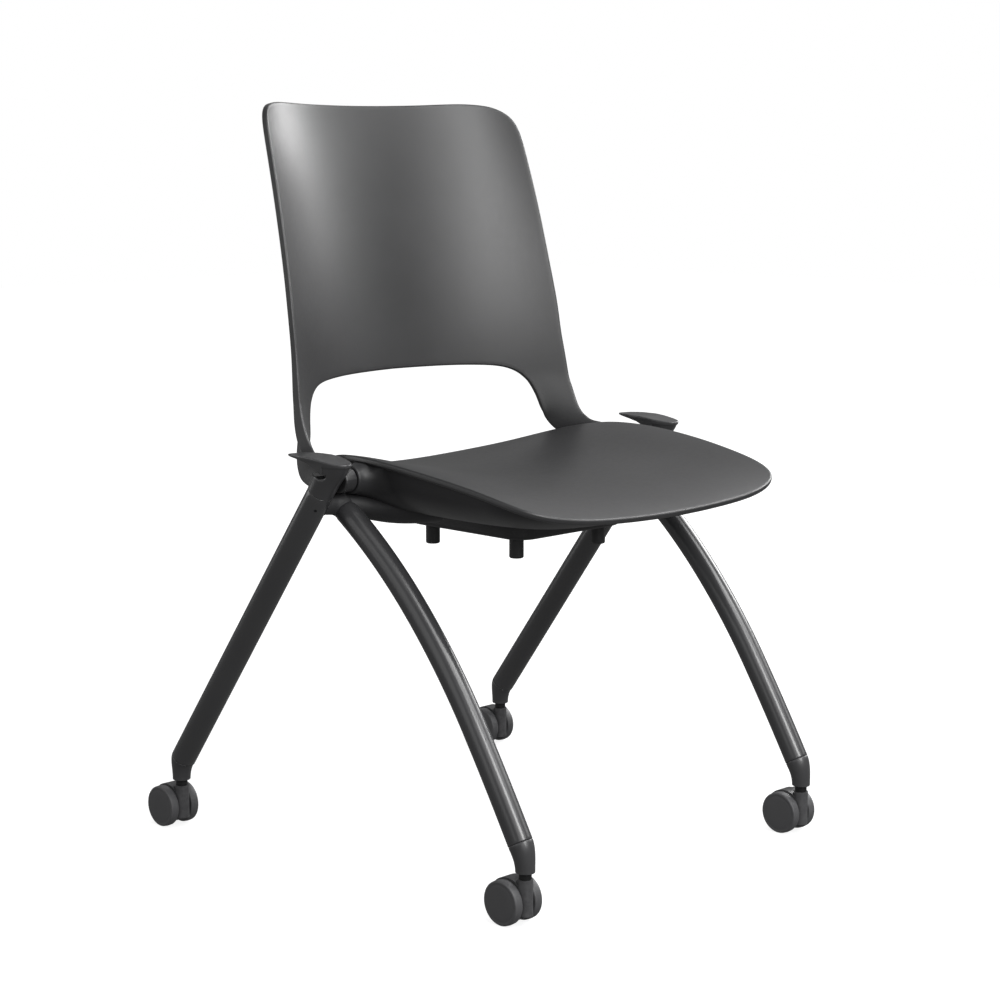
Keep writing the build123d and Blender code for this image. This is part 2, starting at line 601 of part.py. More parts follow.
def main():
    os.makedirs("parts", exist_ok=True)
    for s, side in ((-1, "right"), (1, "left")):
        save(f"rear_leg_{side}", rear_leg(s))
        save(f"front_leg_{side}", front_leg(s))
        save(f"leg_junction_{side}", junction(s))
        save(f"cross_arm_{side}", arm(s))
        save(f"handle_cap_{side}", handle_cap(s))
        save(f"seat_pivot_pin_{side}", pivot_pin(s))
        save(f"pivot_bracket_{side}", pivot_bracket(s))
        save(f"pivot_bush_{side}", pivot_bush(s))
        edges, stations = front_path()
        y0, z0, a0 = stations[0]
        y_front = y0 - (z0 - SEAM_Z) / math.tan(a0)
        corners = (("front", HALF_FRONT, 0.0, y_front, FRONT_TUBE_R, (0, math.cos(a0), math.sin(a0))),
                   ("rear", HALF_REAR, WHEELBASE, rear_y(SEAM_Z), REAR_TUBE_R, (0, 1 / REAR_SLOPE, 1)))
        for end, track, y, y_seam, r, d in corners:
            save(f"leg_socket_{end}_{side}", socket(s, track, y, y_seam, r, d))
            save(f"castor_stem_{end}_{side}", stem(s, track, y))
            housing, axle, wheels = castor(s, track, y)
            save(f"castor_housing_{end}_{side}", housing)
            save(f"castor_axle_{end}_{side}", axle)
            order = ("inner", "outer") if s > 0 else ("outer", "inner")
            for tag, w in zip(order, wheels):
                save(f"castor_wheel_{end}_{side}_{tag}", w)
    save("cross_rod", cross_rod())
    save("rod_bumpers", bumper(-1), bumper(1))
    save("back_shell", back_shell())
    save("ear_discs", ear_disc(-1), ear_disc(1))
    save("leg_set_screws", set_screw(-1), set_screw(1))
    save("seat_shell", seat_shell())
    save("seat_under_cover", under_cover())
    save("seat_tray", tray())
    save("nesting_pegs", [peg(s, y) for s in (-1, 1) for y in PEG_Y])
    save("tray_screws", cover_screws())


main()
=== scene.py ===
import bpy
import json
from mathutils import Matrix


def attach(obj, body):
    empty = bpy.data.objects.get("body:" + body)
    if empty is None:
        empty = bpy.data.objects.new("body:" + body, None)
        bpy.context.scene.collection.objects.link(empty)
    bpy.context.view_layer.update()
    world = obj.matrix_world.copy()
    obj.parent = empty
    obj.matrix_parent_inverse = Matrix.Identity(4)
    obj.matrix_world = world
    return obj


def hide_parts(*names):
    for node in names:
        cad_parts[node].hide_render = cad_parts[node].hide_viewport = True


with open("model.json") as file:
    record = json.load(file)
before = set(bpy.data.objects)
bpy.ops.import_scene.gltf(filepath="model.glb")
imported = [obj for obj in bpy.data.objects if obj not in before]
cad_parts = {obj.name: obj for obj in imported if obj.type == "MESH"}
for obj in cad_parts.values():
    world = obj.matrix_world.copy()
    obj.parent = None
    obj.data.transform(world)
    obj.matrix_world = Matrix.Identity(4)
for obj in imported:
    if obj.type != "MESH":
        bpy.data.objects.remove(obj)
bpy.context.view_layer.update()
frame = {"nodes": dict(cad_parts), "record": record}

import json
import math

import bpy
import numpy as np
from mathutils import Vector

NODES = frame["nodes"]
MY = 291.4                      # the drawings below have the front castor stems at y = 0
HALF_FRONT, HALF_REAR = 237.0, 273.5
PIVOT_Y, PIVOT_Z = 272.0, 453.0
REAR_REF_Y, REAR_REF_Z, REAR_SLOPE = 414.9, 262.0, -1.3557

SEAT_K = ((443.65, 1.96, -10.87, 1.71, -5.12, 3.92),
          (31.14, 22.19, -4.59, -9.86, -10.29, -8.26),
          (7.42, 5.11, -5.14, -8.65, -13.87, -6.52),
          (-9.3, -10.02, 2.84, -3.96, -3.64, 0.14))
SEAT_OUT = ((0, 0.0), (45, 0.3), (90, 1.1), (125, 2.4), (150, 5.0), (172, 9.6), (190, 16.6),
            (203, 26.0), (211, 38.0), (216.4, 54.0), (219.5, 72.0), (222.6, 104.0),
            (225.5, 137.7), (227.6, 173.0), (228.3, 205.0), (227.5, 235.0), (224.6, 270.0),
            (219, 302.0), (210, 328.0), (198.5, 352.0), (184, 376.0), (166, 398.5),
            (142, 417.5), (110, 430.5), (70, 438.0), (30, 440.8), (0, 441.2))
BACK_K = ((482.67, 32.15, 4.73, -0.15),
          (-71.85, 25.73, 24.15, -10.86),
          (-8.02, -26.39, -23.04, 9.87))
BACK_OUT = ((0, 868.4), (40, 868.7), (60, 869.1), (95, 870.0), (112, 870.7), (128, 871.3),
            (144, 871.7), (158, 871.4), (170, 870.3), (180, 868.3), (189, 864.4),
            (196, 859.0), (201.5, 851.5), (205.2, 841.0), (207.2, 828.0), (208.7, 808.0), (210.6, 777.0),
            (213.3, 728.0), (216.1, 674.0), (219.6, 614.0), (220.8, 580.4), (222.3, 561.0),
            (223.7, 541.2), (224.9, 521.7), (225.3, 515.0))
BACK_IN = ((185.6, 515.0), (180.6, 522.6), (173.0, 531.0), (160.0, 538.6),
           (143.0, 542.6), (122.0, 544.4), (95.0, 545.6), (60.0, 546.3), (0, 546.9))
# band between the panel and the ear: inner and outer corner of its front face, thickness
BAND = (((184.3, 404.0, 517.3), (225.2, 371.3, 517.0), 10.0),
        ((189.6, 399.4, 503.0), (226.2, 366.0, 502.6), 11.8),
        ((194.2, 394.8, 484.0), (227.1, 353.0, 483.2), 14.0),
        ((201.5, 386.5, 466.5), (229.8, 341.8, 473.2), 15.6),
        ((214.0, 369.0, 451.5), (235.0, 330.0, 469.4), 16.5),
        ((229.5, 344.0, 441.6), (239.8, 314.5, 467.8), 16.8),
        ((240.2, 318.0, 438.9), (241.5, 300.0, 467.4), 16.9),
        ((241.5, 294.0, 438.7), (241.5, 287.0, 467.2), 16.9))
EAR_TIP = ((280.0, 438.8, 467.1), (275.0, 438.9, 467.1), (270.0, 439.3, 466.7), (266.0, 440.3, 465.8),
           (263.0, 442.2, 464.0), (260.6, 445.2, 460.9), (258.8, 449.2, 457.0))
STUB_Z, STUB_R = 425.4, 12.8
KNUCKLE = (290.0, 424.2, 14.2)
LEG_END = (281.63, 415.73)
# handle pad from above: |x|, y
LEAF = ((272.0, 236.4), (279.0, 238.0), (284.6, 242.6), (288.0, 250.0), (289.8, 259.0), (290.6, 272.0),
        (290.4, 288.0), (289.2, 304.0), (286.2, 318.0), (281.4, 328.4), (276.0, 332.2), (270.6, 329.6),
        (264.6, 322.0), (259.4, 311.6), (256.4, 300.0), (255.4, 286.0), (255.4, 273.0), (256.8, 260.4),
        (260.4, 249.2), (265.8, 240.6))
NOTCH = ((258.0, 463.4), (259.3, 460.4), (262.0, 458.2), (265.6, 457.2), (269.5, 457.7),
         (273.0, 459.4), (276.0, 460.6), (330, 460.6), (345, 479.0), (310, 477.2), (300.0, 475.9), (287.0, 473.2),
         (275.0, 468.2), (263.4, 463.4))
ARM = ((237.0, 289.5, 424.2, 13.4), (221.0, 279.0, 420.8, 13.6), (204.0, 271.0, 417.2, 15.0),
       (180.0, 261.0, 413.6, 16.2), (152.0, 254.0, 411.2, 16.3), (125.0, 251.5, 409.4, 16.0))
BELLY = ((26, 150, 433, 414.0), (60, 196, 452, 404.0), (105, 211, 464, 397.5), (160, 215, 470, 395.2),
         (235, 217, 474, 395.0), (300, 209, 474, 395.0), (345, 190, 472, 396.5), (385, 160, 462, 405.0),
         (418, 110, 450, 421.0))


# ------------------------------------------------------------------ numbers
def seat_z(x, y):
    u, v = (x / 220.0) ** 2, (y - 220.0) / 220.0
    return sum(k * u ** i * v ** j for i, row in enumerate(SEAT_K) for j, k in enumerate(row))


def back_y(x, z):
    u, v = (x / 220.0) ** 2, (z - 700.0) / 170.0
    return sum(k * u ** i * v ** j for i, row in enumerate(BACK_K) for j, k in enumerate(row))


def back_t(z):
    q = np.clip((620.0 - np.asarray(z, float)) / 90.0, 0, 1)
    return 7.2 + 2.0 * q * q


def rear_y(z):
    return REAR_REF_Y + (z - REAR_REF_Z) / REAR_SLOPE


def to_m(p):
    p = np.asarray(p, float)
    return (p - np.array([0.0, MY, 0.0])) / 1000.0


def cubic(ts, ys):
    """natural cubic spline through (ts, ys), ys of any width; returns a function"""
    ts, ys = np.asarray(ts, float), np.asarray(ys, float)
    n = len(ts)
    h = np.diff(ts)
    a = np.zeros((n, n))
    b = np.zeros((n,) + ys.shape[1:])
    a[0, 0] = a[-1, -1] = 1
    for i in range(1, n - 1):
        a[i, i - 1], a[i, i], a[i, i + 1] = h[i - 1], 2 * (h[i - 1] + h[i]), h[i]
        b[i] = 6 * ((ys[i + 1] - ys[i]) / h[i] - (ys[i] - ys[i - 1]) / h[i - 1])
    m = np.linalg.solve(a, b.reshape(n, -1)).reshape(b.shape)

    def f(t):
        t = np.atleast_1d(np.asarray(t, float))
        k = np.clip(np.searchsorted(ts, t) - 1, 0, n - 2)
        d = (t - ts[k])
        hh = h[k]
        if ys.ndim > 1:
            d, hh = d[:, None], hh[:, None]
        return (ys[k] + d * ((ys[k + 1] - ys[k]) / hh - hh * (2 * m[k] + m[k + 1]) / 6)
                + m[k] / 2 * d * d + (m[k + 1] - m[k]) / (6 * hh) * d ** 3)
    return f


def curve(points, closed_symmetric=False):
    """smooth curve by chord length through 2-D or 3-D points; returns f(0..1) and total length"""
    p = np.asarray(points, float)
    s = np.r_[0, np.cumsum(np.linalg.norm(np.diff(p, axis=0), axis=1))]
    f = cubic(s, p)
    tt = np.linspace(0, s[-1], 1200)
    q = f(tt)
    arc = np.r_[0, np.cumsum(np.linalg.norm(np.diff(q, axis=0), axis=1))]

    def g(u):
        return f(np.interp(np.asarray(u, float) * arc[-1], arc, tt))
    return g, arc[-1]


# ------------------------------------------------------------------ mesh help
def make_object(name, verts, faces, smooth=True):
    me = bpy.data.meshes.new(name)
    me.from_pydata([tuple(v) for v in verts], [], [tuple(int(i) for i in f) for f in faces])
    me.validate()
    if smooth:
        me.polygons.foreach_set("use_smooth", [True] * len(me.polygons))
    ob = bpy.data.objects.new(name, me)
    bpy.context.scene.collection.objects.link(ob)
    return ob


def vertex_normals(v, f):
    n = np.zeros_like(v)
    a, b, c, d = (v[f[:, i]] for i in range(4))
    fn = np.cross(c - a, d - b)
    for i in range(4):
        np.add.at(n, f[:, i], fn)
    return n / np.maximum(np.linalg.norm(n, axis=1), 1e-12)[:, None]


def boundary_loops(faces):
    nxt = {}
    edges = set()
    for q in faces:
        for i in range(4):
            edges.add((q[i], q[(i + 1) % 4]))
    for a, b in edges:
        if (b, a) not in edges:
            nxt[a] = b
    loops = []
    while nxt:
        start = next(iter(nxt))
        loop = [start]
        cur = nxt.pop(start)
        while cur != start:
            loop.append(cur)
            cur = nxt.pop(cur)
        loops.append(loop)
    return loops


def thick_sheet(v, f, t, r, arc=5, normals=None):
    """closed solid from a sheet of quads seen from its front; the sheet's edge grows outwards by a
    rounded rim of radius r, so the sheet is drawn smaller by r; t is the thickness at each vertex"""
    v, f = np.asarray(v, float), np.asarray(f, int)
    n = vertex_normals(v, f) if normals is None else normals
    t = np.broadcast_to(np.asarray(t, float), (len(v),)).copy()
    r = np.broadcast_to(np.asarray(r, float), (len(v),))
    nv = len(v)
    verts = [v.copy(), v - n * t[:, None]]
    faces = [tuple(q) for q in f] + [tuple(q[::-1] + nv) for q in f]
    base = 2 * nv
    for loop in boundary_loops([tuple(q) for q in f]):
        lp = np.array(loop)
        p, nn = v[lp], n[lp]
        tan = np.roll(p, -1, 0) - np.roll(p, 1, 0)
        tan /= np.linalg.norm(tan, axis=1)[:, None]
        out = np.cross(tan, nn)
        out /= np.linalg.norm(out, axis=1)[:, None]
        rr, tt = r[lp][:, None], t[lp][:, None]
        rings = []
        for k in range(1, arc + 1):
            q = k / arc * math.pi / 2
            rings.append(p + out * rr * math.sin(q) - nn * rr * (1 - math.cos(q)))
        for k in range(0, arc):
            q = k / arc * math.pi / 2
            rings.append(p - nn * tt + out * rr * math.cos(q) + nn * rr * (1 - math.sin(q)))
        m = len(lp)
        ids = [lp]
        for ring in rings:
            verts.append(ring)
            ids.append(np.arange(base, base + m))
            base += m
        ids.append(lp + nv)
        for a, b in zip(ids, ids[1:]):
            for i in range(m):
                j = (i + 1) % m
                faces.append((a[j], a[i], b[i], b[j]))
    return np.vstack(verts), faces


def inset_curve(g, r, side, n=3000):
    """2-D curve function moved sideways by r (side +1 or -1); returns a function of 0..1"""
    u = np.linspace(0, 1, n)
    p = g(u)
    d = np.gradient(p, axis=0)
    d /= np.linalg.norm(d, axis=1)[:, None]
    q = p + side * r * np.c_[-d[:, 1], d[:, 0]]

    def h(t):
        t = np.asarray(t, float)
        return np.c_[np.interp(t, u, q[:, 0]), np.interp(t, u, q[:, 1])]
    return h


def coons(bottom, top, left, right, nu, nv, us=None, vs=None):
    """grid (nv+1, nu+1, k) between four boundary point functions of 0..1"""
    us = np.linspace(0, 1, nu + 1) if us is None else us
    vs = np.linspace(0, 1, nv + 1) if vs is None else vs
    b, t, l, r = bottom(us), top(us), left(vs), right(vs)
    u, v = us[None, :, None], vs[:, None, None]
    return ((1 - v) * b[None] + v * t[None] + (1 - u) * l[:, None] + u * r[:, None]
            - (1 - u) * (1 - v) * b[0] - u * (1 - v) * b[-1] - (1 - u) * v * t[0] - u * v * t[-1])


def grid_faces(rows, cols, off=0):
    out = []
    for i in range(rows - 1):
        for j in range(cols - 1):
            a = off + i * cols + j
            out.append((a, a + 1, a + cols + 1, a + cols))
    return out


def weld(v, f, tol=1e-3):
    key = np.round(np.asarray(v) / tol).astype(np.int64)
    _, first, inv = np.unique(key, axis=0, return_index=True, return_inverse=True)
    inv = inv.ravel()
    nf = []
    for q in f:
        q2 = [int(inv[i]) for i in q]
        if len(set(q2)) == 4:
            nf.append(tuple(q2))
    return np.asarray(v)[first], np.array(nf, int), first


# ------------------------------------------------------------------ materials
def mat_base(name):
    m = bpy.data.materials.new(name)
    m.use_nodes = True
    nt = m.node_tree
    nt.nodes.clear()
    out = nt.nodes.new("ShaderNodeOutputMaterial")
    b = nt.nodes.new("ShaderNodeBsdfPrincipled")
    nt.links.new(b.outputs["BSDF"], out.inputs["Surface"])
    return m, nt, b


def noise(nt, vec, scale, detail=4.0, rough=0.6):
    n = nt.nodes.new("ShaderNodeTexNoise")
    n.inputs["Scale"].default_value = scale
    n.inputs["Detail"].default_value = detail
    n.inputs["Roughness"].default_value = rough
    nt.links.new(vec, n.inputs["Vector"])
    return n


def ramp(nt, fac, stops):
    r = nt.nodes.new("ShaderNodeValToRGB")
    el = r.color_ramp.elements
    el[0].position, el[0].color = stops[0][0], (*stops[0][1], 1)
    el[1].position, el[1].color = stops[-1][0], (*stops[-1][1], 1)
    for pos, col in stops[1:-1]:
        e = el.new(pos)
        e.color = (*col, 1)
    nt.links.new(fac, r.inputs["Fac"])
    return r


def maprange(nt, val, a, b, c, d):
    m = nt.nodes.new("ShaderNodeMapRange")
    for k, x in zip(("From Min", "From Max", "To Min", "To Max"), (a, b, c, d)):
        m.inputs[k].default_value = x
    nt.links.new(val, m.inputs["Value"])
    return m


def mixrgb(nt, fac, a, b):
    m = nt.nodes.new("ShaderNodeMix")
    m.data_type = "RGBA"
    nt.links.new(fac, m.inputs[0])
    for sock, val in ((m.inputs[6], a), (m.inputs[7], b)):
        if isinstance(val, tuple):
            sock.default_value = (*val, 1)
        else:
            nt.links.new(val, sock)
    return m


def coated(name, col, rough=0.42, grain=1500.0, grain_h=0.00003, wear_and_glint=0.25, spec=0.5, metallic=0.0,
           wave=0.0, coat=0.0, mottling=0.12, rub_and_glint=2.4,
           crease=(0.505, 0.56)):
    """satin finish: slow colour drift, fine grain in the bump, edges painted a little lighter, partly as rubbed wear
    and partly as a painted rim highlight
    """
    m, nt, b = mat_base(name)
    co = nt.nodes.new("ShaderNodeTexCoord").outputs["Object"]
    big = noise(nt, co, 9.0, 3.0)
    fine = noise(nt, co, grain, 2.0, 0.5)
    mid = noise(nt, co, grain * 0.12, 3.0, 0.6)
    lo = tuple(c * (1 - mottling) for c in col)
    hi = tuple(c * (1 + mottling) for c in col)
    body = ramp(nt, big.outputs["Fac"], ((0.35, lo), (0.65, hi)))
    geo = nt.nodes.new("ShaderNodeNewGeometry")
    edge = maprange(nt, geo.outputs["Pointiness"], crease[0], crease[1], 0.0, 1.0)
    worn_and_glint = nt.nodes.new("ShaderNodeMath")
    worn_and_glint.operation = "MULTIPLY"
    nt.links.new(edge.outputs["Result"], worn_and_glint.inputs[0])
    breakup = maprange(nt, mid.outputs["Fac"], 0.35, 0.7, 0.2 * wear_and_glint, wear_and_glint)
    nt.links.new(breakup.outputs["Result"], worn_and_glint.inputs[1])
    # painted rim highlight mixed with edge wear: creased edges take a lighter colour
    c = mixrgb(nt, worn_and_glint.outputs[0], body.outputs["Color"], tuple(min(1.0, x * rub_and_glint + 0.02) for x in col))
    nt.links.new(c.outputs[2], b.inputs["Base Color"])
    rr = maprange(nt, mid.outputs["Fac"], 0.3, 0.7, rough - 0.015, rough + 0.015)
    nt.links.new(rr.outputs["Result"], b.inputs["Roughness"])
    bump = nt.nodes.new("ShaderNodeBump")
    bump.inputs["Strength"].default_value = 0.35
    bump.inputs["Distance"].default_value = grain_h
    nt.links.new(fine.outputs["Fac"], bump.inputs["Height"])
    nt.links.new(bump.outputs["Normal"], b.inputs["Normal"])
    b.inputs["Metallic"].default_value = metallic
    b.inputs["Specular IOR Level"].default_value = spec
    if coat:
        b.inputs["Coat Weight"].default_value = coat
        b.inputs["Coat Roughness"].default_value = 0.3
    return m


SHELL = coated("shell_plastic", (0.024, 0.024, 0.0252), rough=0.42, grain=1400, grain_h=0.00003, wear_and_glint=0.15, spec=0.75)
COVER = coated("cover_plastic", (0.028, 0.028, 0.0294), rough=0.46, grain=1100, grain_h=0.00004, wear_and_glint=0.1)
TUBE = coated("tube_powder_coat", (0.044, 0.044, 0.046), rough=0.25, grain=1300, grain_h=0.000005, wear_and_glint=0.2, spec=0.85, mottling=0.06)
CAST = coated("cast_powder_coat", (0.048, 0.048, 0.050), rough=0.30, grain=1300, grain_h=0.000012, wear_and_glint=0.6, spec=0.7)
STEM = coated("stem_black", (0.010, 0.010, 0.0105), rough=0.5, grain=1300, grain_h=0.000012, wear_and_glint=0.05, spec=0.3)
NYLON = coated("castor_nylon", (0.052, 0.052, 0.054), rough=0.40, grain=1500, grain_h=0.00002, wear_and_glint=0.4)
# painted shade: a darker, duller copy of the tube powder coat for the arms, knuckles and sleeves that sit under the
# seat
ARM_SHADED_COAT = coated("arm_coat_painted_shade", (0.036, 0.036, 0.0376), rough=0.52, grain=1300, grain_h=0.000012, wear_and_glint=0.1, spec=0.35)
WHEEL = coated("wheel_nylon", (0.082, 0.082, 0.0852), rough=0.48, grain=1300, grain_h=0.00003, wear_and_glint=0.4)
RUBBER = coated("rubber", (0.028, 0.028, 0.029), rough=0.55, grain=1300, grain_h=0.00006, wear_and_glint=0.2)
STEEL = coated("turned_steel", (0.30, 0.30, 0.31), rough=0.3, grain=2500, grain_h=0.00002, wear_and_glint=0.3, metallic=1.0)
SCREW = coated("black_steel", (0.03, 0.03, 0.03), rough=0.35, grain=2500, grain_h=0.00002, wear_and_glint=0.6, metallic=0.6)


def dress(ob, mat):
    ob.data.materials.clear()
    ob.data.materials.append(mat)


# ------------------------------------------------------------------ distance fields
def smin(a, b, k):
    """smooth union of two distance fields"""
    h = np.clip(0.5 + 0.5 * (b - a) / k, 0, 1)
    return b + (a - b) * h - k * h * (1 - h)


def smax(a, b, k):
    return -smin(-a, -b, k)


def seg_dist(P, a, b, ra, rb=None):
    """rounded cone between two points"""
    rb = ra if rb is None else rb
    a, b = np.asarray(a, np.float32), np.asarray(b, np.float32)
    ab = b - a
    ap = [P[i] - a[i] for i in range(3)]
    h = np.clip(sum(ap[i] * ab[i] for i in range(3)) / float(ab @ ab), 0, 1)
    return np.sqrt(sum((ap[i] - ab[i] * h) ** 2 for i in range(3))) - (ra + (rb - ra) * h)


def line_dist(P, a, d, r):
    """endless round bar through a along the unit vector d"""
    ap = [P[i] - a[i] for i in range(3)]
    k = sum(ap[i] * d[i] for i in range(3))
    return np.sqrt(np.maximum(sum((ap[i] - d[i] * k) ** 2 for i in range(3)), 1e-12)) - r


def poly_dist(u, v, pts):
    """signed distance to a closed polygon in the plane, negative inside"""
    pts = np.asarray(pts, np.float32)
    best = np.full(np.broadcast(u, v).shape, 1e9, np.float32)
    inside = np.zeros(best.shape, bool)
    for (x0, y0), (x1, y1) in zip(pts, np.roll(pts, -1, 0)):
        ex, ey = x1 - x0, y1 - y0
        wx, wy = u - x0, v - y0
        h = np.clip((wx * ex + wy * ey) / (ex * ex + ey * ey), 0, 1)
        best = np.minimum(best, (wx - ex * h) ** 2 + (wy - ey * h) ** 2)
        if y0 != y1:
            cross = ((y0 > v) != (y1 > v)) & (u < ex * (v - y0) / (y1 - y0) + x0)
            inside ^= cross
    return np.where(inside, -1, 1) * np.sqrt(best)


def smooth_closed(points, n=140):
    """closed smooth curve through points"""
    p = np.asarray(points, float)
    m = len(p)
    q = np.vstack([p[-3:], p, p[:4]])
    s = np.r_[0, np.cumsum(np.linalg.norm(np.diff(q, axis=0), axis=1))]
    f = cubic(s, q)
    return f(np.linspace(s[3], s[3 + m], n, endpoint=False))


def nets(field, lo, hi, h, relax=2):
    """mesh of the zero surface of field((X, Y, Z)) in the box lo..hi with cells of size h"""
    lo, hi = np.asarray(lo, float), np.asarray(hi, float)
    n = np.ceil((hi - lo) / h).astype(int) + 1
    ax = [np.float32(lo[i]) + np.float32(h) * np.arange(n[i], dtype=np.float32) for i in range(3)]
    X, Y, Z = np.meshgrid(*ax, indexing="ij", sparse=True)
    D = np.ascontiguousarray(np.broadcast_to(field((X, Y, Z)), tuple(n)).astype(np.float32))
    S = D < 0
    cnt = np.zeros(tuple(n - 1), np.int8)
    for i in (0, 1):
        for j in (0, 1):
            for k in (0, 1):
                cnt += S[i:n[0] - 1 + i, j:n[1] - 1 + j, k:n[2] - 1 + k]
    act = np.argwhere((cnt > 0) & (cnt < 8))
    index = np.full(cnt.shape, -1, np.int64)
    index[tuple(act.T)] = np.arange(len(act))
    corners = np.array([(i, j, k) for i in (0, 1) for j in (0, 1) for k in (0, 1)])
    vals = {tuple(c): D[tuple((act + c).T)] for c in corners}
    acc, num = np.zeros((len(act), 3)), np.zeros(len(act))
    for c in corners:
        for axis in range(3):
            if c[axis] == 0:
                e = c.copy()
                e[axis] = 1
                a, b = vals[tuple(c)], vals[tuple(e)]
                m = (a < 0) != (b < 0)
                t = np.where(m, a / np.where(m, a - b, 1), 0)
                pos = np.repeat(c[None].astype(float), len(act), 0)
                pos[:, axis] += t
                acc += pos * m[:, None]
                num += m
    v = lo + (act + acc / num[:, None]) * h
    quads = []
    for axis in range(3):
        b, c = (axis + 1) % 3, (axis + 2) % 3
        sl0, sl1 = [slice(None)] * 3, [slice(None)] * 3
        sl0[axis], sl1[axis] = slice(0, -1), slice(1, None)
        ch = S[tuple(sl0)] != S[tuple(sl1)]
        e = np.argwhere(ch)
        e = e[(e[:, b] > 0) & (e[:, c] > 0) & (e[:, b] < n[b] - 1) & (e[:, c] < n[c] - 1)]
        s0 = S[tuple(e.T)]
        q = []
        for db, dc in ((-1, -1), (0, -1), (0, 0), (-1, 0)):
            w = e.copy()
            w[:, b] += db
            w[:, c] += dc
            q.append(index[tuple(w.T)])
        q = np.array(q).T
        q[~s0] = q[~s0][:, ::-1]
        quads.append(q)
    f = np.vstack(quads)
    # pull the vertices onto the surface
    for _ in range(relax):
        e = 0.05 * h
        P = [v[:, i].astype(np.float32) for i in range(3)]
        d0 = field(P)
        g = np.zeros_like(v)
        for i in range(3):
            Q = list(P)
            Q[i] = P[i] + np.float32(e)
            g[:, i] = (field(Q) - d0) / e
        gl = np.maximum((g ** 2).sum(1), 0.25)
        step = (d0 / gl)[:, None] * g
        ln = np.linalg.norm(step, axis=1)
        step *= np.minimum(1, 0.5 * h / np.maximum(ln, 1e-9))[:, None]
        v = v - step
    return v, f


def mirrored(v, f):
    return v * np.array([-1, 1, 1]), f[:, ::-1]


# ------------------------------------------------------------------ seat shell
def build_seat():
    r = 2.3
    full, _ = curve([(x, y) for x, y in SEAT_OUT])
    right = inset_curve(full, r, 1)
    pts = right(np.linspace(0, 1, 800))
    d = np.gradient(pts, axis=0)
    ang = np.degrees(np.arctan2(d[:, 1], d[:, 0]))          # 0 along +x, 90 along +y, 180 along -x
    u1, u2 = int(np.argmax(ang > 45)) / 799, int(np.argmax(ang > 132)) / 799

    def part(a, b, mirror_x=False):
        def g(u):
            q = right(a + (b - a) * np.asarray(u)).copy()
            if mirror_x:
                q[:, 0] *= -1
            return q
        return g

    def span(lo, hi):
        def g(u):
            u = np.asarray(u)
            w = np.abs(2 * u - 1)
            q = right(lo + (hi - lo) * w).copy()
            q[:, 0] *= np.where(u < 0.5, -1, 1)
            return q
        return g
    nu, nv = 96, 90
    g = coons(span(0, u1), span(1, u2), part(u1, u2, True), part(u1, u2), nu, nv)
    flat = g.reshape(-1, 2)
    z = seat_z(flat[:, 0], flat[:, 1])
    v = np.c_[flat, z]
    f = np.array(grid_faces(nv + 1, nu + 1))
    verts, faces = thick_sheet(v, f, 7.0, r, arc=6)
    ob = make_object("seat_shell_moulding", to_m(verts), faces)
    dress(ob, SHELL)
    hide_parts("seat_shell")
    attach(ob, "seat")
    return ob


